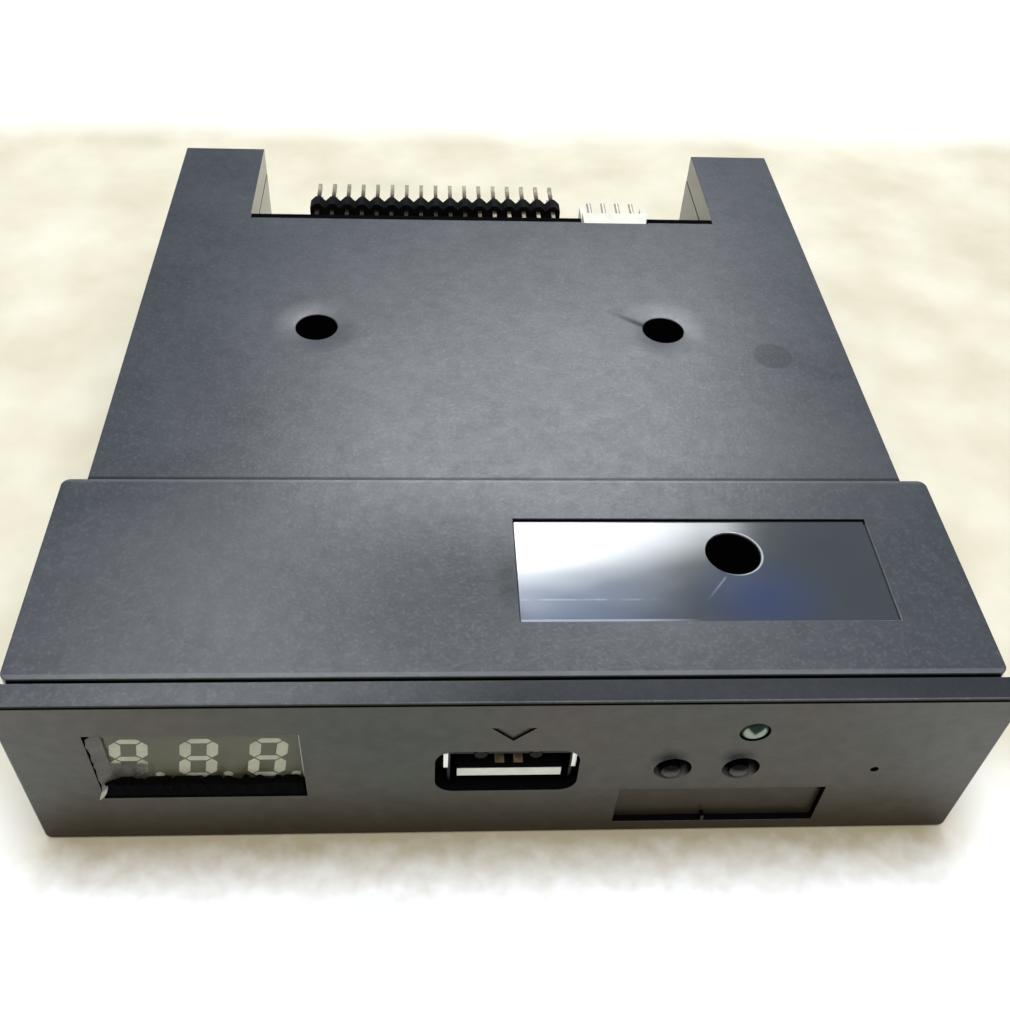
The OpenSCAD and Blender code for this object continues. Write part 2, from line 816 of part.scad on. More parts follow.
// The seven bars and the point of one digit, as flat shapes.
module digit_shapes() {
    bar_x = (digit_w - segment_w) / 2;
    bar_z = (digit_h - level_h) / 2;
    across = digit_w - segment_w - segment_gap;
    upright = bar_z - segment_gap;
    for (row = [-1, 0, 1])
        polygon(slanted(segment_points(across, level_h), [0, row * bar_z]));
    for (side = [-1, 1])
        for (row = [-1, 1])
            polygon(slanted(turned(segment_points(upright, segment_w)), [side * bar_x, row * bar_z / 2]));
    translate([(digit_w + point_d - segment_gap) / 2 + point_side, (point_d - digit_h) / 2])
        circle(d = point_d);
}

module segment_blocks() {
    for (i = [-1, 0, 1])
        face_cut(display_x + i * digit_pitch - digit_left, display_z, [display_set, display_set + segment_t])
            digit_shapes();
}

module display_body() {
    color([0.36, 0.36, 0.32])
        seat()
            difference() {
                box(span(display_x, display_w), [display_set, display_back], span(display_z, display_h));
                segment_blocks();
            }
}

module display_segments() {
    color([0.85, 0.85, 0.78])
        seat()
            segment_blocks();
}

module pin_grid(d, y) {
    for (row = [-1, 1])
        for (i = [0:display_pin_columns - 1])
            rod_y(display_x + (i - (display_pin_columns - 1) / 2) * pin_pitch,
                  display_z + row * display_pin_rows / 2, d, y);
}

module display_pins() {
    color("silver")
        seat()
            pin_grid(display_pin_d, [display_back, display_board_back + tail_out]);
}

module display_film() {
    color([0.8, 0.8, 0.75, 0.4])
        seat()
            box(span(display_x, display_w), [display_set - film_t, display_set],
                [window_low + seal_h, display_z + display_h / 2]);
}

module display_seal() {
    color([0.05, 0.05, 0.05])
        seat()
            box(span(display_x, display_w), [display_set - seal_t, display_set],
                [window_low, window_low + seal_h]);
}

module display_board() {
    color("darkgreen")
        seat()
            difference() {
                box(span(display_x, display_board_w), [display_board_y, display_board_back],
                    [floor_t, floor_t + display_board_h]);
                pin_grid(display_pin_d + 2 * hole_gap, [display_board_y - cut, display_board_back + cut]);
            }
}

module display_driver() {
    color([0.1, 0.1, 0.1])
        seat()
            box(span(display_x, driver_w), [display_board_back + chip_gap, display_board_back + driver_t],
                span(driver_z, driver_h));
}

module display_driver_leads() {
    color("silver")
        seat()
            for (row = [-1, 1])
                for (i = [0:driver_side_leads - 1])
                    box(span(display_x + (i - (driver_side_leads - 1) / 2) * driver_lead_pitch, driver_lead_w),
                        [display_board_back, display_board_back + driver_lead_t],
                        span(driver_z + row * (driver_h + driver_lead_l) / 2, driver_lead_l));
}

module display_board_socket() {
    color("white")
        seat()
            box(span(display_x, socket_w), [display_board_back, display_board_back + socket_l],
                span(lead_z, socket_t));
}

module main_board_socket() {
    color("white")
        seat()
            box(span(display_x, socket_w), span(lead_y, socket_t), [board_top, board_top + socket_l]);
}

// The two housings crimped on the ends of the display lead.
module lead_plugs() {
    color([0.9, 0.9, 0.86])
        seat() {
            box(span(display_x, socket_w - 2 * plug_in),
                [display_board_back + socket_l, display_board_back + socket_l + plug_l],
                span(lead_z, socket_t - 2 * plug_in));
            box(span(display_x, socket_w - 2 * plug_in), span(lead_y, socket_t - 2 * plug_in),
                [board_top + socket_l, board_top + socket_l + plug_l]);
        }
}

// The part of a wire's ring that lies within the given depths and heights from its middle.
module wire_bend(y, z) {
    intersection() {
        rotate([0, 90, 0])
            rotate_extrude()
                translate([lead_bend, 0])
                    circle(d = lead_d);
        box(span(0, 2 * lead_d), y, z);
    }
}

// Four wires that leave the display's plug, loop up and go down into the main board's plug.
module display_lead() {
    reach = lead_bend + lead_d;
    top = lead_z + lead_bend;
    color("gray")
        seat()
            for (i = [0:lead_wires - 1])
                translate([display_x + (i - (lead_wires - 1) / 2) * lead_pitch, 0, 0]) {
                    translate([0, lead_start, top])
                        wire_bend([0, reach], [-reach, 0]);
                    translate([0, lead_y - lead_bend, top])
                        wire_bend([-reach, reach], [0, reach]);
                    rod_z(0, lead_y, lead_d, [board_top + socket_l + plug_l, top]);
                }
}

module usb_shell() {
    color("silver")
        seat() {
            difference() {
                box(span(usb_x, usb_shell_w), [usb_set, usb_end], span(usb_z, usb_shell_h));
                box(span(usb_x, usb_inner_w), [usb_set - cut, usb_end + cut], span(usb_z, usb_inner_h));
                box(span(usb_x, usb_inner_w - 2 * usb_lip_side), [usb_set - cut, usb_set + usb_lip_cut],
                    [usb_low - cut, usb_low + 2 * usb_shell_t]);
            }
            for (side = [-1, 1]) {
                translate([usb_x + side * (usb_shell_w - usb_shell_t) / 2, 0, 0]) {
                    box(span(0, usb_shell_t), [usb_tab_y - usb_tab_l, usb_end], [board_top, usb_low]);
                    box(span(0, usb_shell_t), span(usb_tab_y, usb_tab_l), [tail_z, board_top]);
                }
                box(span(usb_x + side * (usb_shell_w - usb_shell_t + usb_flare) / 2, usb_shell_t + usb_flare),
                    [usb_set, usb_set + usb_shell_t], usb_flare_z);
            }
        }
}

// One contact strip along the tongue with its tail down into the board.
module contact_strip(x) {
    box(span(x, usb_contact_w), [usb_contact_y, usb_tail_y], [usb_tongue_top - usb_contact_t, usb_tongue_top]);
    box(span(x, usb_contact_w), [usb_tail_y - usb_contact_t, usb_tail_y], [tail_z, usb_tongue_top]);
}

module usb_insulator() {
    color([0.92, 0.92, 0.88])
        seat()
            difference() {
                union() {
                    box(span(usb_x, usb_tongue_w), [usb_tongue_y, usb_base_y + fit_gap],
                        [usb_tongue_top - usb_tongue_t, usb_tongue_top]);
                    box(span(usb_x, usb_inner_w - 2 * fit_gap), [usb_base_y, usb_end - fit_gap],
                        span(usb_z, usb_inner_h - 2 * fit_gap));
                }
                for (x = usb_contact_x)
                    box(span(usb_x + x, usb_contact_w + 2 * fit_gap), [usb_contact_y - fit_gap, usb_end + cut],
                        [usb_tongue_top - usb_contact_t - fit_gap, usb_tongue_top + fit_gap]);
            }
}

module usb_contacts() {
    color("gold")
        seat()
            for (x = usb_contact_x)
                contact_strip(usb_x + x);
}

module plunger(x) {
    flange_y = switch_y + switch_wall + flange_gap;
    color(case_colour)
        seat() {
            rod_y(x, plunger_z, plunger_d, [-plunger_out, flange_y]);
            rod_y(x, plunger_z, flange_d, [flange_y, flange_y + flange_t]);
            rod_y(x, plunger_z, nub_d, [flange_y + flange_t, flange_y + flange_t + nub_l]);
        }
}

module left_button() {
    plunger(button_places[0]);
}

module right_button() {
    plunger(button_places[1]);
}

module switch_cases() {
    color([0.12, 0.12, 0.12])
        seat()
            for (x = button_places)
                difference() {
                    box(span(x, switch_w), [switch_y, switch_y + switch_l], [board_top, switch_top]);
                    rod_y(x, plunger_z, plunger_d + 2 * plunger_gap, [switch_y - cut, switch_y + switch_l / 2]);
                    rod_y(x, plunger_z, switch_cavity_d,
                          [switch_y + switch_wall, switch_y + switch_wall + switch_cavity_l]);
                }
}

// A steel strap over each switch, with a leg down each side into the board.
module switch_brackets() {
    y = [switch_y + switch_l - bracket_l, switch_y + switch_l];
    color("silver")
        seat()
            for (x = button_places) {
                box(span(x, switch_w + 2 * bracket_t), y, [switch_top, switch_top + bracket_t]);
                for (side = [-1, 1])
                    box(span(x + side * (switch_w + bracket_t) / 2, bracket_t), y,
                        [tail_z, switch_top + bracket_t]);
            }
}

module switch_domes() {
    floor_y = switch_y + switch_wall + switch_cavity_l;
    rim = switch_cavity_d / 2 - 2 * dome_t;
    color("silver")
        seat()
            for (x = button_places)
                translate([x, floor_y, plunger_z])
                    rotate([90, 0, 0])
                        rotate_extrude()
                            polygon([[0, dome_rise - dome_t], [rim - dome_t, 0], [rim, 0], [rim, dome_t],
                                     [rim / 4, dome_rise], [0, dome_rise]]);
}

module led_lens() {
    color("green")
        seat() {
            rod_y(led_x, led_z, led_d, [led_set + led_d / 2, led_end]);
            intersection() {
                translate([led_x, led_set + led_d / 2, led_z])
                    sphere(d = led_d);
                box(span(led_x, led_d + cut), [led_set - cut, led_set + led_d / 2], span(led_z, led_d + cut));
            }
            rod_y(led_x, led_z, led_flange_d, [led_end - led_flange_t, led_end]);
        }
}

module led_wires() {
    color("silver")
        seat()
            for (side = [-1, 1])
                translate([led_x + side * led_pitch / 2, 0, 0]) {
                    rod_y(0, led_z, led_wire_d, [led_end, led_tail_y]);
                    translate([0, led_tail_y, led_z])
                        sphere(d = led_wire_d);
                    rod_z(0, led_tail_y, led_wire_d, [tail_z, led_z]);
                }
}

module led_holder() {
    color([0.12, 0.12, 0.12])
        seat()
            difference() {
                box(span(led_x, holder_w), [holder_y, holder_y + holder_l], [board_top, led_z + holder_w / 2]);
                for (side = [-1, 1])
                    rod_y(led_x + side * led_pitch / 2, led_z, led_wire_d + 2 * hole_gap,
                          [holder_y - cut, holder_y + holder_l + cut]);
            }
}

module board_holes() {
    z = [board_z - cut, board_top + cut];
    slot = pin_t + 2 * hole_gap;
    for (w = wells)
        rod_z(w[0], w[1], screw_d + 2 * screw_gap, z);
    for (x = usb_contact_x)
        box(span(usb_x + x, usb_contact_w + 2 * hole_gap),
            [usb_tail_y - usb_contact_t - hole_gap, usb_tail_y + hole_gap], z);
    for (side = [-1, 1])
        box(span(usb_x + side * (usb_shell_w - usb_shell_t) / 2, usb_shell_t + 2 * hole_gap),
            span(usb_tab_y, usb_tab_l + 2 * hole_gap), z);
    for (x = button_places)
        for (side = [-1, 1])
            box(span(x + side * (switch_w + bracket_t) / 2, bracket_t + 2 * hole_gap),
                [switch_y + switch_l - bracket_l - hole_gap, switch_y + switch_l + hole_gap], z);
    for (side = [-1, 1])
        rod_z(led_x + side * led_pitch / 2, led_tail_y, led_wire_d + 2 * hole_gap, z);
    for (row = data_rows)
        for (i = [0:data_columns - 1])
            box(span(data_first_x + i * pin_pitch, slot), span(row[1], slot), z);
    for (x = power_pin_x)
        rod_z(x, power_tail_y, power_pin_d + 2 * hole_gap, z);
    jumper_posts(z, slot);
}

module main_board() {
    color("darkgreen")
        seat()
            difference() {
                union() {
                    box(span(0, board_w), [board_y, notch_y - wall_t], [board_z, board_top]);
                    box(span(0, board_tail_w), [notch_y - wall_t - cut, board_end], [board_z, board_top]);
                }
                box([-board_w / 2 - cut, corner_x], [board_y - cut, corner_y],
                    [board_z - cut, board_top + cut]);
                board_holes();
            }
}

// One bent lead that leaves a package at its side and lands on the board.
module gull_lead(z) {
    knee = [chip_lead_reach / 2 - chip_lead_t, chip_lead_reach / 2];
    box([0, knee[1]], span(0, chip_lead_w), [z, z + chip_lead_t]);
    box(knee, span(0, chip_lead_w), [board_top, z + chip_lead_t]);
    box([knee[0], chip_lead_reach], span(0, chip_lead_w), [board_top, board_top + chip_lead_t]);
}

module controller() {
    color([0.1, 0.1, 0.1])
        seat()
            box(span(chip_x, chip_w), span(chip_y, chip_w), chip_z);
}

module controller_leads() {
    color("silver")
        seat()
            translate([chip_x, chip_y, 0])
                for (turn = [0:90:270])
                    rotate([0, 0, turn])
                        for (i = [0:chip_side_leads - 1])
                            translate([chip_w / 2, (i - (chip_side_leads - 1) / 2) * chip_lead_pitch, 0])
                                gull_lead(board_top + chip_t / 2);
}

module buffer_chip() {
    color([0.1, 0.1, 0.1])
        seat()
            box(span(buffer_x, buffer_l), span(buffer_y, buffer_w), chip_z);
}

module buffer_leads() {
    color("silver")
        seat()
            translate([buffer_x, buffer_y, 0])
                for (turn = [90, 270])
                    rotate([0, 0, turn])
                        for (i = [0:buffer_side_leads - 1])
                            translate([buffer_w / 2, (i - (buffer_side_leads - 1) / 2) * pin_pitch / 2, 0])
                                gull_lead(board_top + chip_t / 2);
}

// A steel can with round ends on a wider foot.
module crystal() {
    color("silver")
        seat()
            translate([crystal_x, crystal_y, board_top]) {
                box(span(0, crystal_l), span(0, crystal_foot_w), [0, crystal_foot_h]);
                box(span(0, crystal_l), span(0, crystal_w), [crystal_foot_h, crystal_h]);
                for (side = [-1, 1]) {
                    rod_z(side * crystal_l / 2, 0, crystal_foot_w, [0, crystal_foot_h]);
                    rod_z(side * crystal_l / 2, 0, crystal_w, [crystal_foot_h, crystal_h]);
                }
            }
}

module regulator() {
    color([0.1, 0.1, 0.1])
        seat()
            box(span(regulator_x, regulator_w), span(regulator_y, regulator_l), chip_z);
}

// A wide tab on one side of the regulator and three narrow leads on the other.
module regulator_leads() {
    foot = [regulator_l / 2, regulator_l];
    color("silver")
        seat()
            translate([regulator_x, regulator_y, board_top]) {
                box(span(0, regulator_w / 2), foot, [0, driver_lead_t]);
                for (i = [-1, 0, 1])
                    box(span(i * regulator_pitch, driver_lead_l), [-foot[1], -foot[0]], [0, driver_lead_t]);
            }
}

module capacitor_cans() {
    color("lightgray")
        seat()
            for (p = can_places)
                rod_z(p[0], p[1], can_d, [board_top + can_base_h, board_top + can_h]);
}

module capacitor_bases() {
    color([0.12, 0.12, 0.12])
        seat()
            for (p = can_places)
                box(span(p[0], can_base_w), span(p[1], can_base_w), [board_top, board_top + can_base_h]);
}

// Two rows of small ceramic parts beside the controller.
module chip_parts() {
    color("tan")
        seat()
            for (side = [-1, 1])
                for (i = [0:part_row - 1])
                    box(span(part_x + i * part_step, part_l), span(chip_y + side * part_side, part_w),
                        [board_top, board_top + part_h]);
}

// The pin strip's block: one chamfered cell for each column, joined side by side.
module data_header_block() {
    chamfer = 0.45;
    half = pin_pitch / 2;
    color([0.08, 0.08, 0.08])
        seat()
            difference() {
                for (i = [0:data_columns - 1])
                    face_cut(data_first_x + i * pin_pitch, data_low_z + half,
                             [data_face - data_block_d, data_face])
                        polygon([[-half, -pin_pitch + chamfer], [-half + chamfer, -pin_pitch],
                                 [half - chamfer, -pin_pitch], [half, -pin_pitch + chamfer],
                                 [half, pin_pitch - chamfer], [half - chamfer, pin_pitch],
                                 [-half + chamfer, pin_pitch], [-half, pin_pitch - chamfer]]);
                for (row = data_rows)
                    for (i = [0:data_columns - 1])
                        box(span(data_first_x + i * pin_pitch, pin_t + 2 * fit_gap),
                            [data_face - data_block_d - cut, data_face + cut],
                            span(row[0], pin_t + 2 * fit_gap));
            }
}

module data_header_pins() {
    color("silver")
        seat()
            for (row = data_rows)
                for (i = [0:data_columns - 1])
                    translate([data_first_x + i * pin_pitch, 0, 0]) {
                        box(span(0, pin_t), [row[1] - pin_t / 2, overall_l], span(row[0], pin_t));
                        box(span(0, pin_t), span(row[1], pin_t), [tail_z, row[0] + pin_t / 2]);
                    }
}

// The white power inlet: a back block, a tray under the pins and two cheeks.
module power_socket() {
    base = [power_y, power_y + power_base_l];
    color("white")
        seat()
            difference() {
                union() {
                    box(span(power_x, power_w), base, [board_top, board_top + power_h]);
                    box(span(power_x, power_w), [base[0], power_face], [board_top, board_top + power_wall]);
                    for (side = [-1, 1])
                        box(span(power_x + side * (power_w - power_wall) / 2, power_wall),
                            [base[0], power_face], [board_top, board_top + power_cheek_h]);
                }
                for (x = power_pin_x)
                    rod_y(x, power_pin_z, power_pin_d + 2 * fit_gap, [base[0] - cut, base[1] + cut]);
            }
}

module power_pins() {
    color("silver")
        seat()
            for (x = power_pin_x)
                translate([x, 0, 0]) {
                    rod_y(0, power_pin_z, power_pin_d, [power_tail_y, power_pin_end]);
                    translate([0, power_tail_y, power_pin_z])
                        sphere(d = power_pin_d);
                    rod_z(0, power_tail_y, power_pin_d, [tail_z, power_pin_z]);
                }
}

function jumper_pin_x(i) = jumper_x + (i - (jumper_columns - 1) / 2) * pin_pitch;

// Square posts at the places of the jumper pins, as pins or as holes for them.
module jumper_posts(z, width) {
    for (i = [0:jumper_columns - 1])
        for (row = [-1, 1])
            box(span(jumper_pin_x(i), width), span(jumper_y + row * pin_pitch / 2, width), z);
}

module jumper_block() {
    color([0.08, 0.08, 0.08])
        seat()
            difference() {
                box(span(jumper_x, jumper_columns * pin_pitch), span(jumper_y, 2 * pin_pitch),
                    [board_top, board_top + jumper_block_h]);
                jumper_posts([board_top - cut, board_top + jumper_block_h + cut], pin_t + 2 * fit_gap);
            }
}

module jumper_pins() {
    color("silver")
        seat()
            jumper_posts([tail_z, jumper_top], pin_t);
}

module jumper_caps() {
    low = board_top + jumper_block_h;
    color([0.08, 0.1, 0.3])
        seat()
            difference() {
                for (i = jumper_caps_at)
                    box(span(jumper_pin_x(i), pin_pitch - jumper_cap_gap),
                        span(jumper_y, 2 * pin_pitch - jumper_cap_gap), [low, low + jumper_cap_h]);
                jumper_posts([low - cut, jumper_top + cut], pin_t + 2 * fit_gap);
            }
}

lower_shell();
upper_shell();
case_screws();
label_film();
display_body();
display_segments();
display_pins();
display_film();
display_seal();
display_board();
display_driver();
display_driver_leads();
display_board_socket();
main_board_socket();
lead_plugs();
display_lead();
usb_shell();
usb_insulator();
usb_contacts();
left_button();
right_button();
switch_cases();
switch_brackets();
switch_domes();
led_lens();
led_wires();
led_holder();
main_board();
controller();
controller_leads();
buffer_chip();
buffer_leads();
crystal();
regulator();
regulator_leads();
capacitor_cans();
capacitor_bases();
chip_parts();
data_header_block();
data_header_pins();
power_socket();
power_pins();
jumper_block();
jumper_pins();
jumper_caps();
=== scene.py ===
import math

import bpy
from mathutils import Matrix, Vector


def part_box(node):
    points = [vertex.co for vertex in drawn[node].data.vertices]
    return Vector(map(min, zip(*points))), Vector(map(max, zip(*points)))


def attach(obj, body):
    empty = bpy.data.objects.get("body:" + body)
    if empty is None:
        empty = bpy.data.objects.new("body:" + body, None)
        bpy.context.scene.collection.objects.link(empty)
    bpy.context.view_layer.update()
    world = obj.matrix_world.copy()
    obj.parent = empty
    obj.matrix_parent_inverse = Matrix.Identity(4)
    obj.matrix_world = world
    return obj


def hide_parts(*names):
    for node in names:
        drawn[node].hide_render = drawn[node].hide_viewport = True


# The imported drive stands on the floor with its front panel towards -Y. Sizes below are in millimetres,
# and depths are measured back from the panel's face, as on the drawing.
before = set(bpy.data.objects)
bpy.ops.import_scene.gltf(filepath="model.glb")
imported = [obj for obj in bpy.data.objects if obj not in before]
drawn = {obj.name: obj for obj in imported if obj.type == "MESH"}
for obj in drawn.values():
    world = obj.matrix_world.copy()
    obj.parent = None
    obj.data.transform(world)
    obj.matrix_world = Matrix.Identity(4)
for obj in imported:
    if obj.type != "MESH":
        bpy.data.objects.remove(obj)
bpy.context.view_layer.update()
mm = 0.001
face_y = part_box("lower_shell")[0].y


def place(x, depth, z):
    return Vector((x * mm, face_y + depth * mm, z * mm))


# The camera is held close and high in front of the drive, a little to its left and slightly tilted. Its
# lens and the small shift of the picture come from fitting the drive's known sizes.
yaw, pitch, roll = math.radians(4.33), math.radians(45.66), math.radians(-3.17)
ahead = Vector((math.sin(yaw) * math.cos(pitch), math.cos(yaw) * math.cos(pitch), -math.sin(pitch)))
level = Vector((math.cos(yaw), -math.sin(yaw), 0))
down = ahead.cross(level)
across = math.cos(roll) * level + math.sin(roll) * down
upright = math.sin(roll) * level - math.cos(roll) * down
bpy.ops.object.camera_add()
camera = bpy.context.object
camera.name = "camera"
camera.matrix_world = Matrix((across, upright, -ahead)).transposed().to_4x4()
camera.location = place(-8.952, -61.805, 116.251)
camera.data.sensor_width = 36
camera.data.lens = 36 * 1119.7 / 1010
camera.data.shift_x = 20.7 / 1010
camera.data.shift_y = 0.9 / 1010
camera.data.clip_start = 0.01
bpy.context.scene.camera = camera


# The floor is a plain pale sheet, wide enough to fill the view and to throw light up at the front panel.
# Under the drive it is a cloudy cream cloth, matt, with a mottled brown band of painted shade along the
# panel's foot.
def finish(name, **even):
    """A new finish; what is the same all over sits on the shader's own sockets."""
    material = bpy.data.materials.new(name)
    material.use_nodes = True
    shader = material.node_tree.nodes["Principled BSDF"]
    for socket, value in even.items():
        shader.inputs[socket.replace("_", " ")].default_value = value
    return material


def add(material, kind, inputs, **settings):
    """Adds one node; an input takes a value or another node's output."""
    made = material.node_tree.nodes.new("ShaderNode" + kind)
    for name, value in settings.items():
        setattr(made, name, value)
    for name, value in inputs.items():
        if isinstance(value, bpy.types.NodeSocket):
            material.node_tree.links.new(value, made.inputs[name])
        else:
            made.inputs[name].default_value = value
    return made


def give(material, socket, source):
    material.node_tree.links.new(source, material.node_tree.nodes["Principled BSDF"].inputs[socket])


def where(material):
    return add(material, "TexCoord", {}).outputs["Object"]


def mottle(material, size, detail=2, stretch=(1, 1, 1)):
    """Noise fixed to the piece, with patches about size millimetres across."""
    at = add(material, "Mapping", {"Vector": where(material), "Scale": stretch}).outputs["Vector"]
    noise = add(material, "TexNoise", {"Vector": at, "Scale": 1 / (size * mm), "Detail": detail})
    return noise.outputs["Fac"]


def between(material, factor, low, high, start=0.3, end=0.7):
    """Turns a factor into a value or a colour between two ends."""
    if isinstance(low, tuple):
        ramp = add(material, "ValToRGB", {"Fac": factor})
        for element, at, colour in zip(ramp.color_ramp.elements, (start, end), (low, high)):
            element.position = at
            element.color = (*colour, 1)
        return ramp.outputs["Color"]
    return add(material, "MapRange", {"Value": factor, "From Min": start, "From Max": end,
                                      "To Min": low, "To Max": high}).outputs["Result"]


def maths(material, operation, *values):
    return add(material, "Math", dict(enumerate(values)), operation=operation).outputs["Value"]


def times(material, first, *others):
    for other in others:
        first = maths(material, "MULTIPLY", first, other)
    return first


def lay(material, factor, colour, under, strength=1):
    """Lays a colour over another one, as far as the factor and the strength go."""
    if strength < 1:
        factor = times(material, factor, strength)
    if isinstance(colour, tuple):
        colour = (*colour, 1)
    return add(material, "MixRGB", {"Fac": factor, "Color1": under, "Color2": colour}).outputs["Color"]


bpy.ops.object.select_all(action="DESELECT")
bpy.ops.mesh.primitive_plane_add(size=4, location=(0, 0, -0.0001))
floor = bpy.context.object
floor.name = "floor"
bpy.ops.object.transform_apply(location=True)
cream = finish("cream_floor", Roughness=0.9)
along = add(cream, "SeparateXYZ", {"Vector": where(cream)}).outputs
aside = maths(cream, "ABSOLUTE", along["X"])
sheet = between(cream, mottle(cream, 45, 4), (0.95, 0.945, 0.93), (0.98, 0.975, 0.965))
# Painted shade: a mottled brown band on the floor along the panel's foot, where the drive's shadow falls.
foot = maths(cream, "MULTIPLY_ADD", mottle(cream, 2.6, 5), 0.005, along["Y"])
foot = times(cream, between(cream, foot, 0.0, 1.0, face_y - 0.005, face_y + 0.002),
             between(cream, aside, 1.0, 0.0, 0.048, 0.058),
             between(cream, along["Y"], 1.0, 0.0, face_y + 0.01, face_y + 0.02))
sheet = lay(cream, foot, (0.44, 0.37, 0.24), sheet)
cloth = between(cream, mottle(cream, 18, 6), (0.56, 0.51, 0.38), (0.69, 0.65, 0.53), 0.32, 0.68)
spread = times(cream, between(cream, along["Y"], 0.0, 1.0, face_y - 0.002, face_y + 0.012),
               between(cream, along["Y"], 1.0, 0.0, face_y + 0.158, face_y + 0.178),
               between(cream, aside, 1.0, 0.0, 0.17, 0.26))
give(cream, "Base Color", lay(cream, spread, cloth, sheet))
floor.data.materials.append(cream)


# A broad soft panel hangs over the drive and the floor in front of it, which lights the front panel from
# below. A window high at the back gives the sheen on the cover and the label, and two cards help it.
def soft_lamp(name, at, towards, width, height, watts, colour, turned=0):
    bpy.ops.object.light_add(type="AREA", location=at)
    lamp = bpy.context.object
    lamp.name = name
    lamp.data.shape = "RECTANGLE"
    lamp.data.size = width
    lamp.data.size_y = height
    lamp.data.energy = watts
    lamp.data.color = colour
    aim = (Vector(towards) - lamp.location).to_track_quat("-Z", "Y")
    lamp.rotation_euler = (aim.to_matrix() @ Matrix.Rotation(math.radians(turned), 3, "Z")).to_euler()


soft_lamp("window", (0.118, 0.985, 0.996), (0, 0, 0.02), 0.57, 0.295, 6.8, (0.94, 0.975, 1.0), 15)
soft_lamp("left_card", (-0.30, 0.70, 1.25), (0, 0, 0.02), 0.55, 0.18, 3.3, (0.94, 0.975, 1.0))
soft_lamp("right_card", (0.50, 0.60, 1.22), (0, 0, 0.02), 0.5, 0.2, 1.4, (0.94, 0.975, 1.0))
soft_lamp("overhead_panel", (0, -0.28, 1.15), (0, -0.28, 0), 1.8, 1.1, 20.5, (0.96, 0.985, 1.0))

# The rest of the room is dim. It is bluish high at the back, where the cover mirrors it, and brown in front,
# and the picture is shown without a film curve.
room = bpy.data.worlds.new("room")
bpy.context.scene.world = room
room.use_nodes = True
air = room.node_tree
direction = air.nodes.new("ShaderNodeTexCoord")
towards_back = air.nodes.new("ShaderNodeVectorMath")
towards_back.operation = "DOT_PRODUCT"
towards_back.inputs[1].default_value = (0, 0.75, 0.66)
shade = air.nodes.new("ShaderNodeValToRGB")
shade.color_ramp.interpolation = "EASE"
shade.color_ramp.elements[0].position = 0.2
shade.color_ramp.elements[0].color = (0.10, 0.085, 0.065, 1)
shade.color_ramp.elements[1].position = 1.0
shade.color_ramp.elements[1].color = (0.24, 0.28, 0.36, 1)
air.links.new(direction.outputs["Generated"], towards_back.inputs[0])
air.links.new(towards_back.outputs["Value"], shade.inputs["Fac"])
air.links.new(shade.outputs["Color"], air.nodes["Background"].inputs["Color"])
bpy.context.scene.view_settings.view_transform = "Standard"


# The lower shell is one moulding of dark grey plastic: front panel, floor, side walls and rails. Its outer
# edges are slightly rounded and its surface has the fine grain of a spark-eroded mould. Its face is painted
# warm as the floor lights it, with painted shade at its foot, above the buttons, on its top edge and in its
# openings, and painted light on the lower walls of the button holes.
def raise_up(material, height, depth):
    """Raises the surface by up to depth millimetres where height is bright."""
    bump = add(material, "Bump", {"Height": height, "Distance": depth * mm, "Strength": 1})
    give(material, "Normal", bump.outputs["Normal"])


def on_drawing(material):
    """The place on the piece as x, depth and height in millimetres."""
    at = add(material, "VectorMath", {0: where(material), 1: (0, face_y, 0)}, operation="SUBTRACT")
    at = add(material, "VectorMath", {0: at.outputs["Vector"], "Scale": 1 / mm}, operation="SCALE")
    return at.outputs["Vector"]


def reading(material, axis):
    """One of the three numbers of that place."""
    return add(material, "SeparateXYZ", {"Vector": on_drawing(material)}).outputs[axis]


def facing(material, axis):
    """How far the surface faces along an axis."""
    normal = add(material, "NewGeometry", {}).outputs["Normal"]
    return add(material, "SeparateXYZ", {"Vector": normal}).outputs[axis]


def spot(material, middle, inner, painted_outer_contact_shade, stretch=(1, 1, 1)):
    """One inside a round patch, falling to nothing at its rim."""
    at = add(material, "VectorMath", {0: on_drawing(material), 1: middle}, operation="SUBTRACT")
    at = add(material, "VectorMath", {0: at.outputs["Vector"], 1: stretch}, operation="MULTIPLY")
    away = add(material, "VectorMath", {0: at.outputs["Vector"]}, operation="LENGTH").outputs["Value"]
    return between(material, away, 1.0, 0.0, inner, painted_outer_contact_shade)


def span(material, axis, low, high, soft=0.05):
    """One where a coordinate lies between two limits."""
    along = reading(material, axis)
    return times(material, between(material, along, 0.0, 1.0, low - soft, low),
                 between(material, along, 1.0, 0.0, high, high + soft))


def strongest(material, first, *others):
    for other in others:
        first = maths(material, "MAXIMUM", first, other)
    return first


def gloss(material, dull):
    """The plastic's gloss: cloudy, and gone where dull is one."""
    cloud = between(material, mottle(material, 1.7, 5), 0.365, 0.50)
    left = between(material, dull, 1.0, 0.0, 0.0, 1.0)
    give(material, "Specular IOR Level", times(material, cloud, left))


def case_finish(name):
    """The case's dark grey plastic, with the horns' inner walls painted pale as lit, and its colour before
    any other marks are laid over it.
    """
    material = finish(name)
    give(material, "Roughness", between(material, mottle(material, 0.5, 3), 0.285, 0.325))
    raise_up(material, mottle(material, 0.42, 2), 0.013)
    grey = between(material, mottle(material, 9, 6), (0.022, 0.0255, 0.0315), (0.033, 0.037, 0.044))
    speck = between(material, mottle(material, 0.4, 2), 0.0, 1.0, 0.52, 0.68)
    grey = lay(material, speck, (0.095, 0.099, 0.106), grey, 0.3)
    # Painted light: the inner walls of the rear horns are painted pale as the bright floor lights them, the
    # left more than the right.
    inward = times(material, facing(material, "X"), reading(material, "X"))
    painted_horn_wall_light = times(material, between(material, inward, 1.0, 0.0, -30, -20), span(material, "Y", 89.8, 109),
                      between(material, reading(material, "X"), 0.95, 0.36, -30, 30))
    return material, lay(material, painted_horn_wall_light, (0.62, 0.585, 0.49), grey)


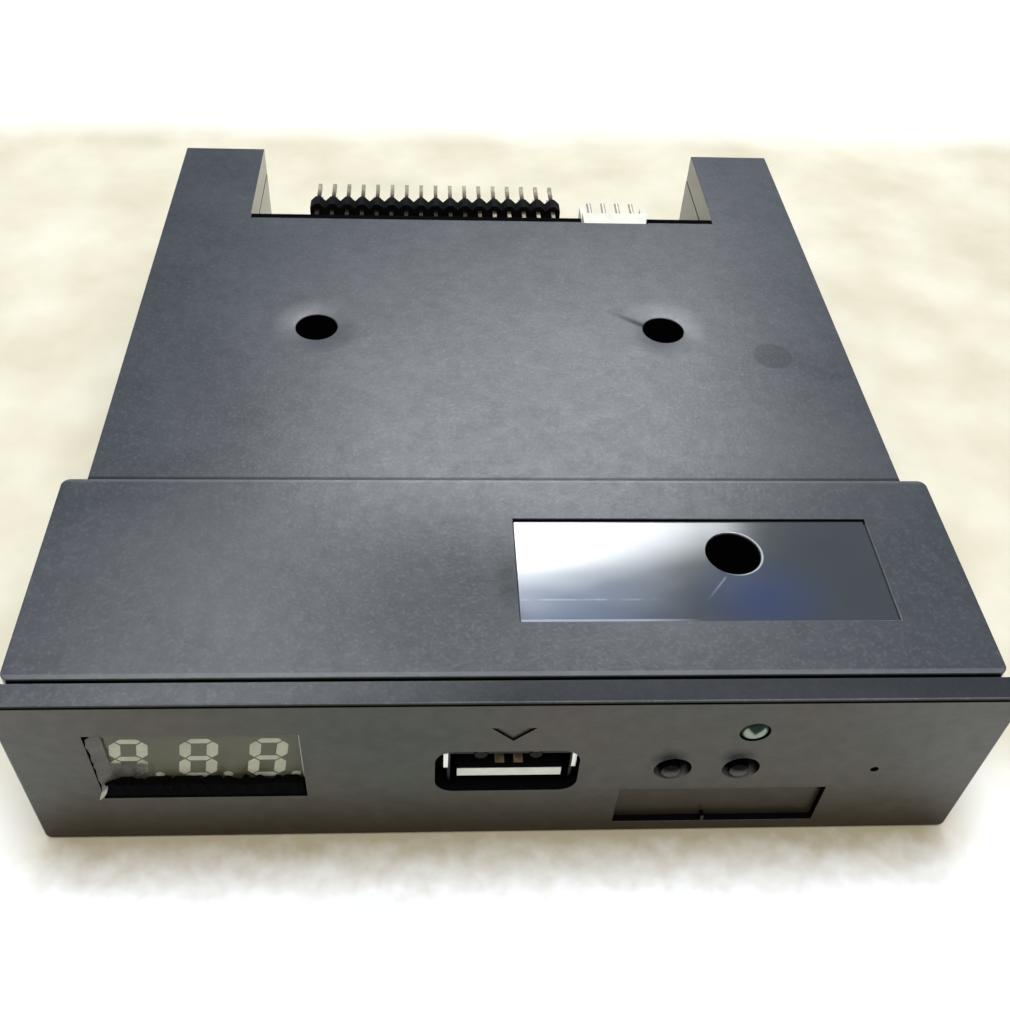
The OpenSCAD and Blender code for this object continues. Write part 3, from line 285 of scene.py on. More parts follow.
shell_plastic, shell_grey = case_finish("lower_case_plastic")
flank = maths(shell_plastic, "ABSOLUTE", facing(shell_plastic, "Y"))
flank = between(shell_plastic, flank, 1.0, 0.0, 0.55, 0.8)
on_face = times(shell_plastic, maths(shell_plastic, "SUBTRACT", 1.0, flank), span(shell_plastic, "Y", -1, 1))
# Painted light: the face is tinted warm and mottled, as the cream floor lights it.
painted_warm_face_light = between(shell_plastic, mottle(shell_plastic, 14, 4), (0.046, 0.033, 0.022), (0.025, 0.033, 0.022))
shell_grey = lay(shell_plastic, on_face, painted_warm_face_light, shell_grey, 0.9)
green_cast = times(shell_plastic, on_face, spot(shell_plastic, (-13, 0, 19), 4, 17, (1, 1, 1.6)))
shell_grey = lay(shell_plastic, green_cast, (0.018, 0.029, 0.019), shell_grey, 0.75)
# Painted shade: the face is darker and browner towards its foot, where it faces the shadowed floor.
painted_low_face_shade = times(shell_plastic, on_face, span(shell_plastic, "Z", -1, 1.5, 10))
shell_grey = lay(shell_plastic, painted_low_face_shade, (0.031, 0.022, 0.013), shell_grey, 0.85)
# Painted shade: a soft dark patch above each button hole, which also dulls the gloss there.
painted_hole_shades = 0.0
for x in (16.6, 23.8):
    painted_hole_shade = spot(shell_plastic, (x, 0, 15.1), 0.6, 2.4, (1, 1, 1.1))
    painted_hole_shades = strongest(shell_plastic, times(shell_plastic, painted_hole_shade, on_face, 0.85), painted_hole_shades)
shell_grey = lay(shell_plastic, painted_hole_shades, (0.008, 0.008, 0.007), shell_grey)
top_strip = times(shell_plastic, span(shell_plastic, "X", 0, 51, 30), span(shell_plastic, "Y", 0.3, 3),
                  span(shell_plastic, "Z", 25.2, 26))
shell_grey = lay(shell_plastic, top_strip, (0.020, 0.023, 0.025), shell_grey, 0.8)
# Painted shade: a line along the face's top edge, the two nubs in the USB opening and the reveals of the
# panel's openings are painted near black.
shaded = times(shell_plastic, span(shell_plastic, "Y", -1, 0.5), span(shell_plastic, "Z", 24.96, 25.2, 0.08))
for x in (-3.2, 2.5):
    nub = spot(shell_plastic, (x, 0, 16.2), 0.8, 1.0, (1, 0, 1))
    nub = times(shell_plastic, nub, span(shell_plastic, "Z", 0, 16.7), 0.9)
    shaded = strongest(shell_plastic, shaded, nub)
reveals = times(shell_plastic, flank, span(shell_plastic, "X", -49, 49), span(shell_plastic, "Y", 0.06, 2.68),
                span(shell_plastic, "Z", 1.2, 24.2))
# Painted light: the lower wall of each button hole is painted pale as lit, and is left out of the painted
# shade of the reveals.
for x in (17.2, 24.5):
    lower_side = spot(shell_plastic, (x, 0, 10.7), 1.7, 2.6, (1, 0, 1))
    painted_lit_hole_rim = times(shell_plastic, lower_side, flank, span(shell_plastic, "Y", -1, 1.2))
    shell_grey = lay(shell_plastic, painted_lit_hole_rim, (0.15, 0.14, 0.125), shell_grey)
    reveals = times(shell_plastic, reveals, maths(shell_plastic, "SUBTRACT", 1.0, lower_side))
shaded = strongest(shell_plastic, shaded, reveals)
give(shell_plastic, "Base Color", lay(shell_plastic, shaded, (0.003, 0.003, 0.003), shell_grey))
# Painted light: the face's reflections are tinted warm, like the floor's light.
warm = between(shell_plastic, on_face, (1.0, 1.0, 1.0), (1.0, 0.92, 0.82), 0.0, 1.0)
give(shell_plastic, "Specular Tint", warm)
gloss(shell_plastic, strongest(shell_plastic, shaded, painted_hole_shades, times(shell_plastic, on_face, 0.13),
                               times(shell_plastic, painted_low_face_shade, 0.68), times(shell_plastic, top_strip, 0.7)))


def copy_of(node, name):
    """A copy of a drawn piece with its loose triangles merged into whole faces."""
    piece = bpy.data.objects.new(name, drawn[node].data.copy())
    bpy.context.scene.collection.objects.link(piece)
    bpy.ops.object.select_all(action="DESELECT")
    piece.select_set(True)
    bpy.context.view_layer.objects.active = piece
    piece.data.materials.clear()
    bpy.ops.mesh.customdata_custom_splitnormals_clear()
    bpy.ops.object.mode_set(mode="EDIT")
    bpy.ops.mesh.select_all(action="SELECT")
    bpy.ops.mesh.remove_doubles(threshold=1e-6)
    bpy.ops.mesh.dissolve_degenerate(threshold=1e-6)
    bpy.ops.mesh.dissolve_limited(angle_limit=math.radians(0.5))
    bpy.ops.object.mode_set(mode="OBJECT")
    return piece


def cut_across(piece, *places):
    """Cuts a piece straight across at each x, so that no wide face keeps a hole or a slanting edge."""
    bpy.context.tool_settings.mesh_select_mode = (False, True, False)
    bpy.ops.object.mode_set(mode="EDIT")
    for x in places:
        bpy.ops.mesh.select_all(action="SELECT")
        bpy.ops.mesh.bisect(plane_co=place(x, 0, 0), plane_no=(1, 0, 0))
        bpy.ops.mesh.mark_seam()
    bpy.ops.mesh.select_all(action="SELECT")
    bpy.ops.mesh.dissolve_limited(angle_limit=math.radians(0.5), delimit={"SEAM"})
    bpy.ops.mesh.mark_seam(clear=True)
    bpy.ops.object.mode_set(mode="OBJECT")


def soften(piece, width, wanted, segments=2):
    """Rounds the outward corner edges that wanted picks by the middle of the edge, as (x, depth, z)."""
    mesh = piece.data
    sides = {}
    for face in mesh.polygons:
        loop = list(face.vertices)
        for start, end in zip(loop, loop[1:] + loop[:1]):
            inward = face.normal.cross(mesh.vertices[end].co - mesh.vertices[start].co)
            sides.setdefault((min(start, end), max(start, end)), []).append((face.normal.copy(), inward))
    bpy.context.tool_settings.mesh_select_mode = (False, True, False)
    bpy.ops.object.mode_set(mode="EDIT")
    bpy.ops.mesh.select_all(action="DESELECT")
    bpy.ops.object.mode_set(mode="OBJECT")
    for edge in mesh.edges:
        (normal, _), (other, inward) = sides[tuple(sorted(edge.vertices))]
        if normal.dot(other) > 0.7 or inward.dot(normal) > 0:
            continue
        middle = (mesh.vertices[edge.vertices[0]].co + mesh.vertices[edge.vertices[1]].co) / 2
        edge.select = wanted(middle.x / mm, (middle.y - face_y) / mm, middle.z / mm)
    bpy.ops.object.mode_set(mode="EDIT")
    bpy.ops.mesh.bevel(offset=width * mm, segments=segments, profile=0.5, affect="EDGES", clamp_overlap=True)
    bpy.ops.object.mode_set(mode="OBJECT")


def dress(piece, body, material):
    """Gives a new piece its finish, its smooth shading and the body that it moves with."""
    piece.data.materials.append(material)
    bpy.ops.object.select_all(action="DESELECT")
    piece.select_set(True)
    bpy.context.view_layer.objects.active = piece
    bpy.ops.object.shade_smooth_by_angle(angle=math.radians(35))
    weighted = piece.modifiers.new("flat_faces", "WEIGHTED_NORMAL")
    weighted.keep_sharp = True
    bpy.ops.object.modifier_apply(modifier=weighted.name)
    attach(piece, body)


def panel_outline(x, depth, z):
    return depth < 0.01 and (abs(x) > 49.9 or z < 0.9 or z > 24.5)


def shell_outside(x, depth, z):
    near_hole = min(abs(depth - 23.7), abs(depth - 83.7)) < 2 and abs(z - 5) < 2
    outside = depth > 0.01 and (abs(x) > 47.3 or z < 0.01 or depth > 109.1)
    return outside and not near_hole


def front_openings(x, depth, z):
    return depth < 0.01 and abs(x) < 49 and 1 < z < 24


lower_shell = copy_of("lower_shell", "soft_lower_shell")
cut_across(lower_shell, -32.1, 0, 17.2, 24.5, 39.1)
soften(lower_shell, 0.3, panel_outline, 3)
soften(lower_shell, 0.25, shell_outside)
soften(lower_shell, 0.1, front_openings)
dress(lower_shell, "case", shell_plastic)
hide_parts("lower_shell")


# The main board is green glass laminate with printed copper tracks under its resist and tinned rings round
# the pins' tails. It lies on the bosses of the lower shell, and its tail shows in the notch at the back. The
# display's upright board is cut from the same sheet.
def coat(node, material):
    for slot in drawn[node].material_slots:
        slot.material = material


laminate = finish("board_laminate", Roughness=0.35)
wander = mottle(laminate, 15, 0, (0.3, 1, 1))
wander = maths(laminate, "MULTIPLY_ADD", wander, 7.0, reading(laminate, "X"))
lane = maths(laminate, "PINGPONG", wander, 0.7)
track = times(laminate, between(laminate, lane, 1.0, 0.0, 0.2, 0.26),
              between(laminate, mottle(laminate, 8, 0, (1, 0.3, 1)), 0.0, 1.0, 0.46, 0.5))
resist = between(laminate, mottle(laminate, 5, 4), (0.009, 0.058, 0.022), (0.013, 0.078, 0.031))
resist = lay(laminate, track, (0.028, 0.145, 0.055), resist)
sawn_side = maths(laminate, "ABSOLUTE", facing(laminate, "Z"))
sawn_side = between(laminate, sawn_side, 1.0, 0.0, 0.4, 0.6)
resist = lay(laminate, sawn_side, (0.12, 0.125, 0.055), resist)
raise_up(laminate, track, 0.03)


def to_row(axis, first, pitch):
    """Distance to the nearest of a row of places."""
    from_first = maths(laminate, "SUBTRACT", reading(laminate, axis), first - 40 * pitch)
    return maths(laminate, "PINGPONG", from_first, pitch / 2)


def solder_ring(beside, behind):
    """A tinned ring round a tail, from the distances to the tail's column and row."""
    away = add(laminate, "CombineXYZ", {"X": beside, "Y": behind}).outputs["Vector"]
    away = add(laminate, "VectorMath", {0: away}, operation="LENGTH").outputs["Value"]
    return between(laminate, away, 1.0, 0.0, 0.82, 0.88)


header_rings = times(laminate, solder_ring(to_row("X", -27.5, 2.54), to_row("Y", 104.86, 2.54)),
                     span(laminate, "X", -28.6, 14.2), span(laminate, "Y", 103.8, 108.4))
inlet_rings = times(laminate, solder_ring(to_row("X", 20.1, 2.5), to_row("Y", 103.0, 30)),
                    span(laminate, "X", 19, 28.7), span(laminate, "Y", 102, 104))
tinned = times(laminate, strongest(laminate, header_rings, inlet_rings), span(laminate, "Z", 8.9, 9.2))
give(laminate, "Base Color", lay(laminate, tinned, (0.55, 0.54, 0.50), resist))
give(laminate, "Metallic", tinned)
coat("main_board", laminate)
coat("display_board", laminate)

# The chips are moulded in matt black resin and soldered to the boards by their leads. The switch cases, the
# lamp's holder, the capacitors' bases and the jumper block are smoother black plastic.
chip_resin = finish("chip_resin", Roughness=0.6)
give(chip_resin, "Base Color", between(chip_resin, mottle(chip_resin, 0.5, 3), (0.014, 0.014, 0.015),
                                       (0.03, 0.03, 0.031)))
raise_up(chip_resin, mottle(chip_resin, 0.12, 2), 0.01)
for node in ("controller", "buffer_chip", "regulator", "display_driver"):
    coat(node, chip_resin)
black_plastic = finish("black_plastic", Roughness=0.42)
give(black_plastic, "Base Color", between(black_plastic, mottle(black_plastic, 2, 3), (0.012, 0.012, 0.013),
                                          (0.022, 0.022, 0.023)))
raise_up(black_plastic, mottle(black_plastic, 0.3, 2), 0.006)
for node in ("switch_cases", "led_holder", "capacitor_bases", "jumper_block"):
    coat(node, black_plastic)

# The leads of the chips, the display, the lamp and the jumper block are copper alloy, stamped or drawn. Their
# bright tin plating has dulled a little.
tin = finish("tinned_leads", Metallic=1.0)
give(tin, "Base Color", between(tin, mottle(tin, 1.2, 3), (0.55, 0.54, 0.51), (0.74, 0.73, 0.70)))
give(tin, "Roughness", between(tin, mottle(tin, 0.5, 3), 0.29, 0.44))
for node in ("display_pins", "display_driver_leads", "led_wires", "controller_leads", "buffer_leads",
             "regulator_leads", "jumper_pins"):
    coat(node, tin)

# The crystal's can, the switches' straps and snap domes and the case screws are bright plated steel. They are
# pressed or rolled, which leaves faint lines one way.
steel = finish("plated_steel", Metallic=1.0)
give(steel, "Base Color", between(steel, mottle(steel, 3, 3), (0.62, 0.61, 0.59), (0.78, 0.77, 0.75)))
give(steel, "Roughness", between(steel, mottle(steel, 0.4, 3, (1, 0.08, 1)), 0.285, 0.38))
for node in ("crystal", "switch_brackets", "switch_domes", "case_screws"):
    coat(node, steel)

# The capacitors are drawn aluminium cans crimped on their bases. The small parts round them are fired ceramic
# blocks.
can_metal = finish("can_aluminium", Metallic=1.0, Roughness=0.32)
give(can_metal, "Base Color", between(can_metal, mottle(can_metal, 0.6, 3, (1, 1, 0.1)), (0.70, 0.70, 0.70),
                                      (0.86, 0.86, 0.86)))
coat("capacitor_cans", can_metal)
ceramic = finish("fired_ceramic", Roughness=0.5)
give(ceramic, "Base Color", between(ceramic, mottle(ceramic, 0.6, 3), (0.26, 0.17, 0.09), (0.36, 0.25, 0.14)))
coat("chip_parts", ceramic)

# A short lead joins the two boards. Its four wires, each in a dark sheath, end in white plugs that push into
# a white socket on each board.
white_plastic = finish("white_plastic", Roughness=0.38)
give(white_plastic, "Base Color", between(white_plastic, mottle(white_plastic, 1.5, 3), (0.74, 0.72, 0.65),
                                          (0.84, 0.83, 0.77)))
raise_up(white_plastic, mottle(white_plastic, 0.35, 2), 0.006)
for node in ("display_board_socket", "main_board_socket", "lead_plugs"):
    coat(node, white_plastic)
sheath = finish("wire_sheath", Roughness=0.5)
give(sheath, "Base Color", between(sheath, mottle(sheath, 1, 3), (0.06, 0.06, 0.062), (0.1, 0.1, 0.1)))
coat("display_lead", sheath)

# The USB socket is a folded steel shell, coloured near black, with a tongue that carries four gilt contacts.
# The tongue behind its front and the two outer contacts are painted near black as shade, and the upper parts
# of the shell's side lips are painted pale as highlights.
tongue_resin = finish("tongue_resin", Roughness=0.42)
tongue = between(tongue_resin, mottle(tongue_resin, 1.5, 3), (0.70, 0.68, 0.60), (0.80, 0.79, 0.72))
# Painted shade: the tongue behind its front edge is painted near black and loses its gloss.
painted_tongue_shade = span(tongue_resin, "Y", 1.08, 30, 0.06)
give(tongue_resin, "Base Color", lay(tongue_resin, painted_tongue_shade, (0.006, 0.006, 0.006), tongue))
give(tongue_resin, "Specular IOR Level", between(tongue_resin, painted_tongue_shade, 0.5, 0.05, 0.0, 1.0))
coat("usb_insulator", tongue_resin)
socket_steel = finish("socket_steel", Metallic=1.0, Roughness=0.3)
plate = between(socket_steel, mottle(socket_steel, 0.8, 3), (0.010, 0.010, 0.010), (0.022, 0.021, 0.020))
# Painted highlights: the upper parts of the shell's side lips are painted pale.
painted_lip_highlights = maths(socket_steel, "ADD", span(socket_steel, "X", -7.2, -6.55), span(socket_steel, "X", 6.55, 7.2))
painted_lip_highlights = times(socket_steel, painted_lip_highlights, span(socket_steel, "Y", 0, 1.15), span(socket_steel, "Z", 12.4, 15.1))
give(socket_steel, "Base Color", lay(socket_steel, painted_lip_highlights, (0.86, 0.85, 0.82), plate))
coat("usb_shell", socket_steel)
gilt = finish("gilt_contacts", Metallic=0.5)
worn = between(gilt, mottle(gilt, 0.7, 3), (0.34, 0.24, 0.12), (0.85, 0.66, 0.38))
# Painted shade: the two outer contacts are painted near black.
painted_outer_contact_shade = maths(gilt, "SUBTRACT", 1.0, span(gilt, "X", -2.0, 2.0))
give(gilt, "Base Color", lay(gilt, painted_outer_contact_shade, (0.008, 0.006, 0.004), worn))
give(gilt, "Roughness", between(gilt, mottle(gilt, 0.5, 3), 0.3, 0.5))
coat("usb_contacts", gilt)

# Each button is a plain moulded plunger with a rounded end, held between the panel and its switch. Its stem
# and its upper side are painted near black as the shade of the gap, and its lower side is as grey as the
# panel.
button_plastic = finish("button_plastic", Roughness=0.5)
cap = between(button_plastic, mottle(button_plastic, 1.2, 4), (0.044, 0.038, 0.030), (0.056, 0.050, 0.041))
stem = times(button_plastic, span(button_plastic, "Y", 0.06, 30, 0.16),
             span(button_plastic, "Z", 12.4, 30, 0.9))
upper_side = times(button_plastic, span(button_plastic, "Z", 13.2, 30, 0.7), 0.9)
painted_gap_shade = strongest(button_plastic, stem, upper_side)
give(button_plastic, "Base Color", lay(button_plastic, painted_gap_shade, (0.002, 0.002, 0.002), cap))
give(button_plastic, "Specular IOR Level", between(button_plastic, painted_gap_shade, 0.4, 0.0, 0.0, 1.0))
raise_up(button_plastic, mottle(button_plastic, 0.2, 2), 0.008)
for side in ("left", "right"):
    button = copy_of(side + "_button", side + "_soft_button")
    soften(button, 0.62, lambda x, depth, z: depth < -0.29, 6)
    dress(button, side + "_plunger", button_plastic)
    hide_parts(side + "_button")


# The lamp is a flush lens of green resin in a round hole, held from behind. The lit cup seen through it is
# painted as a pale crescent low in the lens, under a dark cone.
def pick(piece, wanted):
    """Selects the vertices that wanted picks by their place, as (x, depth, z)."""
    bpy.context.tool_settings.mesh_select_mode = (True, False, False)
    bpy.ops.object.mode_set(mode="EDIT")
    bpy.ops.mesh.select_all(action="DESELECT")
    bpy.ops.object.mode_set(mode="OBJECT")
    for vertex in piece.data.vertices:
        vertex.select = wanted(vertex.co.x / mm, (vertex.co.y - face_y) / mm, vertex.co.z / mm)
    bpy.ops.object.mode_set(mode="EDIT")


lens = copy_of("led_lens", "flush_lamp_lens")
pick(lens, lambda x, depth, z: depth < 1.7)
bpy.ops.transform.resize(value=(1, 0.28, 1), center_override=place(24.6, 1.65, 19.85))
bpy.ops.transform.translate(value=(0, -1.35 * mm, 0))
bpy.ops.object.mode_set(mode="OBJECT")
lens_resin = finish("lamp_resin", Roughness=0.35, Specular_IOR_Level=0.08)
tint = between(lens_resin, mottle(lens_resin, 0.7, 3), (0.002, 0.011, 0.006), (0.005, 0.020, 0.011))
beside = maths(lens_resin, "ABSOLUTE", maths(lens_resin, "SUBTRACT", reading(lens_resin, "X"), 24.6))
above = maths(lens_resin, "SUBTRACT", reading(lens_resin, "Z"), 19.85)
# Painted light: the lit cup inside is painted as a pale crescent on the lens.
in_cone = maths(lens_resin, "MULTIPLY_ADD", beside, -1.15, above)
painted_cup_light = times(lens_resin, spot(lens_resin, (24.6, 0, 19.85), 1.08, 1.26, (1, 0, 1)),
            between(lens_resin, in_cone, 1.0, 0.0, -0.55, -0.05))
give(lens_resin, "Base Color", lay(lens_resin, painted_cup_light, (0.30, 0.35, 0.27), tint))
dress(lens, "case", lens_resin)
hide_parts("led_lens")

# The display is a moulded block on its own board, behind the window. Its face is printed grey, and milky bars
# of resin are let into it.
display = copy_of("display_body", "printed_display_body")
soften(display, 0.12, lambda x, depth, z: depth < 1.3 and not (-42 < x < -22.2 and 9.8 < z < 18.6))
face_print = finish("display_resin", Roughness=0.4)
give(face_print, "Base Color", between(face_print, mottle(face_print, 3, 4), (0.059, 0.057, 0.024),
                                       (0.079, 0.077, 0.035)))
raise_up(face_print, mottle(face_print, 0.25, 2), 0.006)
dress(display, "case", face_print)
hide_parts("display_body")
milky = finish("segment_resin", Roughness=0.35)
give(milky, "Base Color", between(milky, mottle(milky, 0.8, 3), (0.41, 0.405, 0.285), (0.49, 0.485, 0.36)))
coat("display_segments", milky)

# A strip of matt black lies along the foot of the window and paints the deep shade there under the film's
# torn edge. Its top is ragged and its left end is askew.
low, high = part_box("display_seal")
bpy.ops.object.select_all(action="DESELECT")
bpy.ops.mesh.primitive_cube_add(size=1, location=(low + high) / 2, scale=high - low)
strip = bpy.context.object
strip.name = "ragged_shade_strip"
bpy.ops.object.transform_apply(location=True, scale=True)
bpy.ops.object.mode_set(mode="EDIT")
for slice_at in range(1, 44):
    bpy.ops.mesh.select_all(action="SELECT")
    bpy.ops.mesh.bisect(plane_co=low.lerp(high, slice_at / 44), plane_no=(1, 0, 0))
bpy.ops.object.mode_set(mode="OBJECT")
pick(strip, lambda x, depth, z: z > high.z / mm - 0.05)
bpy.ops.transform.translate(value=(0, 0, 0.22 * mm))
bpy.ops.transform.vertex_random(offset=0.34 * mm, uniform=0.5, normal=0.9, seed=4)
bpy.ops.object.mode_set(mode="OBJECT")
pick(strip, lambda x, depth, z: x < low.x / mm + 0.05 and z > high.z / mm - 0.5)
bpy.ops.transform.translate(value=(0.25 * mm, 0, 0))
bpy.ops.object.mode_set(mode="OBJECT")
soften(strip, 0.12, lambda x, depth, z: depth < 0.4)
shade_strip_finish = finish("black_felt", Roughness=1.0, Specular_IOR_Level=0.05)
give(shade_strip_finish, "Base Color", between(shade_strip_finish, mottle(shade_strip_finish, 0.3, 4), (0.0008, 0.0008, 0.0008),
                                 (0.003, 0.0027, 0.0027)))
raise_up(shade_strip_finish, mottle(shade_strip_finish, 0.15, 3), 0.05)
dress(strip, "case", shade_strip_finish)
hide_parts("display_seal")

# A thin clear film covers the display's face. Its left margin has come loose, crumpled and curls forward,
# with a torn tab at its foot that sticks out past the panel. It has gone matt under the first digit.
low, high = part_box("display_film")
left = low.x / mm
bpy.ops.object.select_all(action="DESELECT")
bpy.ops.mesh.primitive_grid_add(x_subdivisions=42, y_subdivisions=14, size=1, location=(low + high) / 2,
                                rotation=(math.radians(90), 0, 0))
curl = bpy.context.object
curl.name = "curled_display_film"
curl.scale = (high.x - low.x, high.z - low.z, 1)
bpy.ops.object.transform_apply(location=True, rotation=True, scale=True)
for column in range(5):
    pick(curl, lambda x, depth, z: abs(x - left - column * 0.5) < 0.05)
    bpy.ops.transform.translate(value=(-0.03 * (4 - column) * mm, -0.055 * (4 - column) ** 2 * mm, 0))
    bpy.ops.object.mode_set(mode="OBJECT")
pick(curl, lambda x, depth, z: x < left + 1.3)
bpy.ops.transform.vertex_random(offset=0.16 * mm, uniform=0.2, seed=7)
bpy.ops.object.mode_set(mode="OBJECT")
pick(curl, lambda x, depth, z: x < left + 0.9 and z < low.z / mm + 0.2)
bpy.ops.mesh.extrude_region_move(TRANSFORM_OT_translate={"value": (0.1 * mm, -0.42 * mm, -0.3 * mm)})
bpy.ops.mesh.extrude_region_move(TRANSFORM_OT_translate={"value": (-0.25 * mm, -0.3 * mm, -0.7 * mm)})
bpy.ops.mesh.extrude_region_move(TRANSFORM_OT_translate={"value": (-0.3 * mm, 0.05 * mm, -0.8 * mm)})
bpy.ops.transform.resize(value=(0.7, 1, 1), center_override=place(left - 0.4, 0, 8.7))
bpy.ops.object.mode_set(mode="OBJECT")
thick = curl.modifiers.new("thickness", "SOLIDIFY")
thick.thickness = 0.04 * mm
thick.offset = 1
bpy.ops.object.modifier_apply(modifier=thick.name)
haze = finish("clear_film", Roughness=0.3)
veil_tone = between(haze, mottle(haze, 2, 3), (0.070, 0.066, 0.048), (0.115, 0.11, 0.085))
rim = span(haze, "X", -21.75, -21, 0.05)
torn = times(haze, span(haze, "Z", 7, 9.8, 0.5), 0.8)
give(haze, "Base Color", lay(haze, strongest(haze, torn, rim), (0.66, 0.64, 0.56), veil_tone))
veil = between(haze, mottle(haze, 3, 4), 0.01, 0.05)
loose = between(haze, span(haze, "X", -44, -41.5, 0.25), 0.0, 0.85)
matt = times(haze, span(haze, "X", -41.6, -38.2, 1.2), span(haze, "Z", 8, 12.9, 0.8),
             between(haze, mottle(haze, 1.6, 3), 0.5, 0.85))
give(haze, "Alpha", strongest(haze, veil, loose, matt, times(haze, rim, 0.6)))
dress(curl, "case", haze)
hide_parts("display_film")

# The data header is a dull black block on the board's edge. Its square pins are cut from drawn wire, so their
# tips are pointed by a small bevel, and the plating has gone dull. The tails on the left and the pins' lower
# parts are painted dark as shade.
block_resin = finish("header_resin", Roughness=0.7, Specular_IOR_Level=0.08)
give(block_resin, "Base Color", between(block_resin, mottle(block_resin, 1.5, 3), (0.002, 0.002, 0.002),
                                        (0.005, 0.005, 0.005)))
raise_up(block_resin, mottle(block_resin, 0.3, 2), 0.006)
block = copy_of("data_header_block", "ridged_header_block")
low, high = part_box("data_header_block")
top = high.z / mm
for column in range(17):
    middle = low.x / mm + 1.27 + 2.54 * column
    pick(block, lambda x, depth, z: abs(x - middle) < 1 and z > top - 0.05)
    bpy.ops.transform.resize(value=(0.45, 1, 1), center_override=place(middle, 110, top))
    bpy.ops.object.mode_set(mode="OBJECT")
pick(block, lambda x, depth, z: top - 0.6 < z < top - 0.3)
bpy.ops.transform.translate(value=(0, 0, -0.4 * mm))
bpy.ops.object.mode_set(mode="OBJECT")
dress(block, "case", block_resin)
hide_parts("data_header_block")
dull_tin = finish("dull_pins", Metallic=1.0)
plated = between(dull_tin, mottle(dull_tin, 1.4, 3), (0.17, 0.155, 0.11), (0.31, 0.285, 0.215))
# Painted shade: the tails on the left and the lower parts of the pins are painted near black.
painted_pin_shade = times(dull_tin, span(dull_tin, "X", -40, -1, 5), span(dull_tin, "Y", 100, 110.2))
painted_pin_shade = strongest(dull_tin, painted_pin_shade, span(dull_tin, "Y", 112, 114.2, 2.6))
give(dull_tin, "Base Color", lay(dull_tin, painted_pin_shade, (0.010, 0.009, 0.006), plated, 0.95))
give(dull_tin, "Roughness", between(dull_tin, mottle(dull_tin, 0.6, 3), 0.34, 0.6))
pins = copy_of("data_header_pins", "pointed_header_pins")
soften(pins, 0.2, lambda x, depth, z: depth > 118.4, 1)
dress(pins, "case", dull_tin)
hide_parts("data_header_pins")

# The power inlet is a white nylon tray, slightly yellowed, that sits on the board beside the header. Four
# pale tinned pins go through its back.
inlet = copy_of("power_socket", "soft_power_socket")
soften(inlet, 0.12, lambda x, depth, z: z > 9.3)
nylon = finish("inlet_nylon", Roughness=0.45)
give(nylon, "Base Color", between(nylon, mottle(nylon, 2, 3), (0.58, 0.56, 0.49), (0.66, 0.64, 0.57)))
raise_up(nylon, mottle(nylon, 0.4, 2), 0.006)
dress(inlet, "case", nylon)
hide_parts("power_socket")
pale_pins = finish("inlet_pins", Metallic=1.0, Roughness=0.5)
give(pale_pins, "Base Color", between(pale_pins, mottle(pale_pins, 0.8, 3), (0.56, 0.54, 0.47),
                                      (0.70, 0.68, 0.60)))
coat("power_pins", pale_pins)

# Two jumper caps are pushed over pins of the jumper block. They are small mouldings of the same black
# plastic, with rounded top edges.
caps = copy_of("jumper_caps", "soft_jumper_caps")
soften(caps, 0.15, lambda x, depth, z: z > 11.6)
dress(caps, "case", black_plastic)
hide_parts("jumper_caps")


# The cover is the second moulding of the case. It drops over the lower shell, its raised front section has
# a shallow recess for a label, and screw wells go down to the board. Painted highlights lie along its edges
# and painted shade in its gaps, recess and wells. Its top has painted pale patches of sheen, a flow mark, an
# ejector's round mark and the dull traces of hands.
def stroke(material, start, heading, length, width):
    """One along a straight line over the top, fading towards its far end."""
    heading = Vector(heading).normalized()
    aside = heading.cross(Vector((0, 0, 1)))
    at = add(material, "VectorMath", {0: on_drawing(material), 1: start}, operation="SUBTRACT")
    at = at.outputs["Vector"]
    along = add(material, "VectorMath", {0: at, 1: heading}, operation="DOT_PRODUCT").outputs["Value"]
    beside = add(material, "VectorMath", {0: at, 1: aside}, operation="DOT_PRODUCT").outputs["Value"]
    beside = maths(material, "ABSOLUTE", beside)
    return times(material, between(material, beside, 1.0, 0.0, 0.2 * width, width),
                 between(material, along, 0.0, 1.0, -0.2, 0.2),
                 between(material, along, 1.0, 0.0, 0.35 * length, length))


cover_plastic, cover_grey = case_finish("cover_plastic")
# Painted highlights: pale lines along the collar's front edge and its rear edge.
for low_edge, high_edge in ((3.28, 3.75), (30.55, 31.1)):
    painted_edge_highlight = times(cover_plastic, span(cover_plastic, "Y", low_edge, high_edge, 0.1),
                        span(cover_plastic, "Z", 25.12, 26))
    cover_grey = lay(cover_plastic, painted_edge_highlight, (0.105, 0.110, 0.118), cover_grey, 0.5)
lit_wall = times(cover_plastic, span(cover_plastic, "X", 40.9, 41.4), span(cover_plastic, "Y", 10, 24.2),
                 span(cover_plastic, "Z", 24.9, 25.35, 0.03))
cover_grey = lay(cover_plastic, lit_wall, (0.11, 0.115, 0.12), cover_grey)
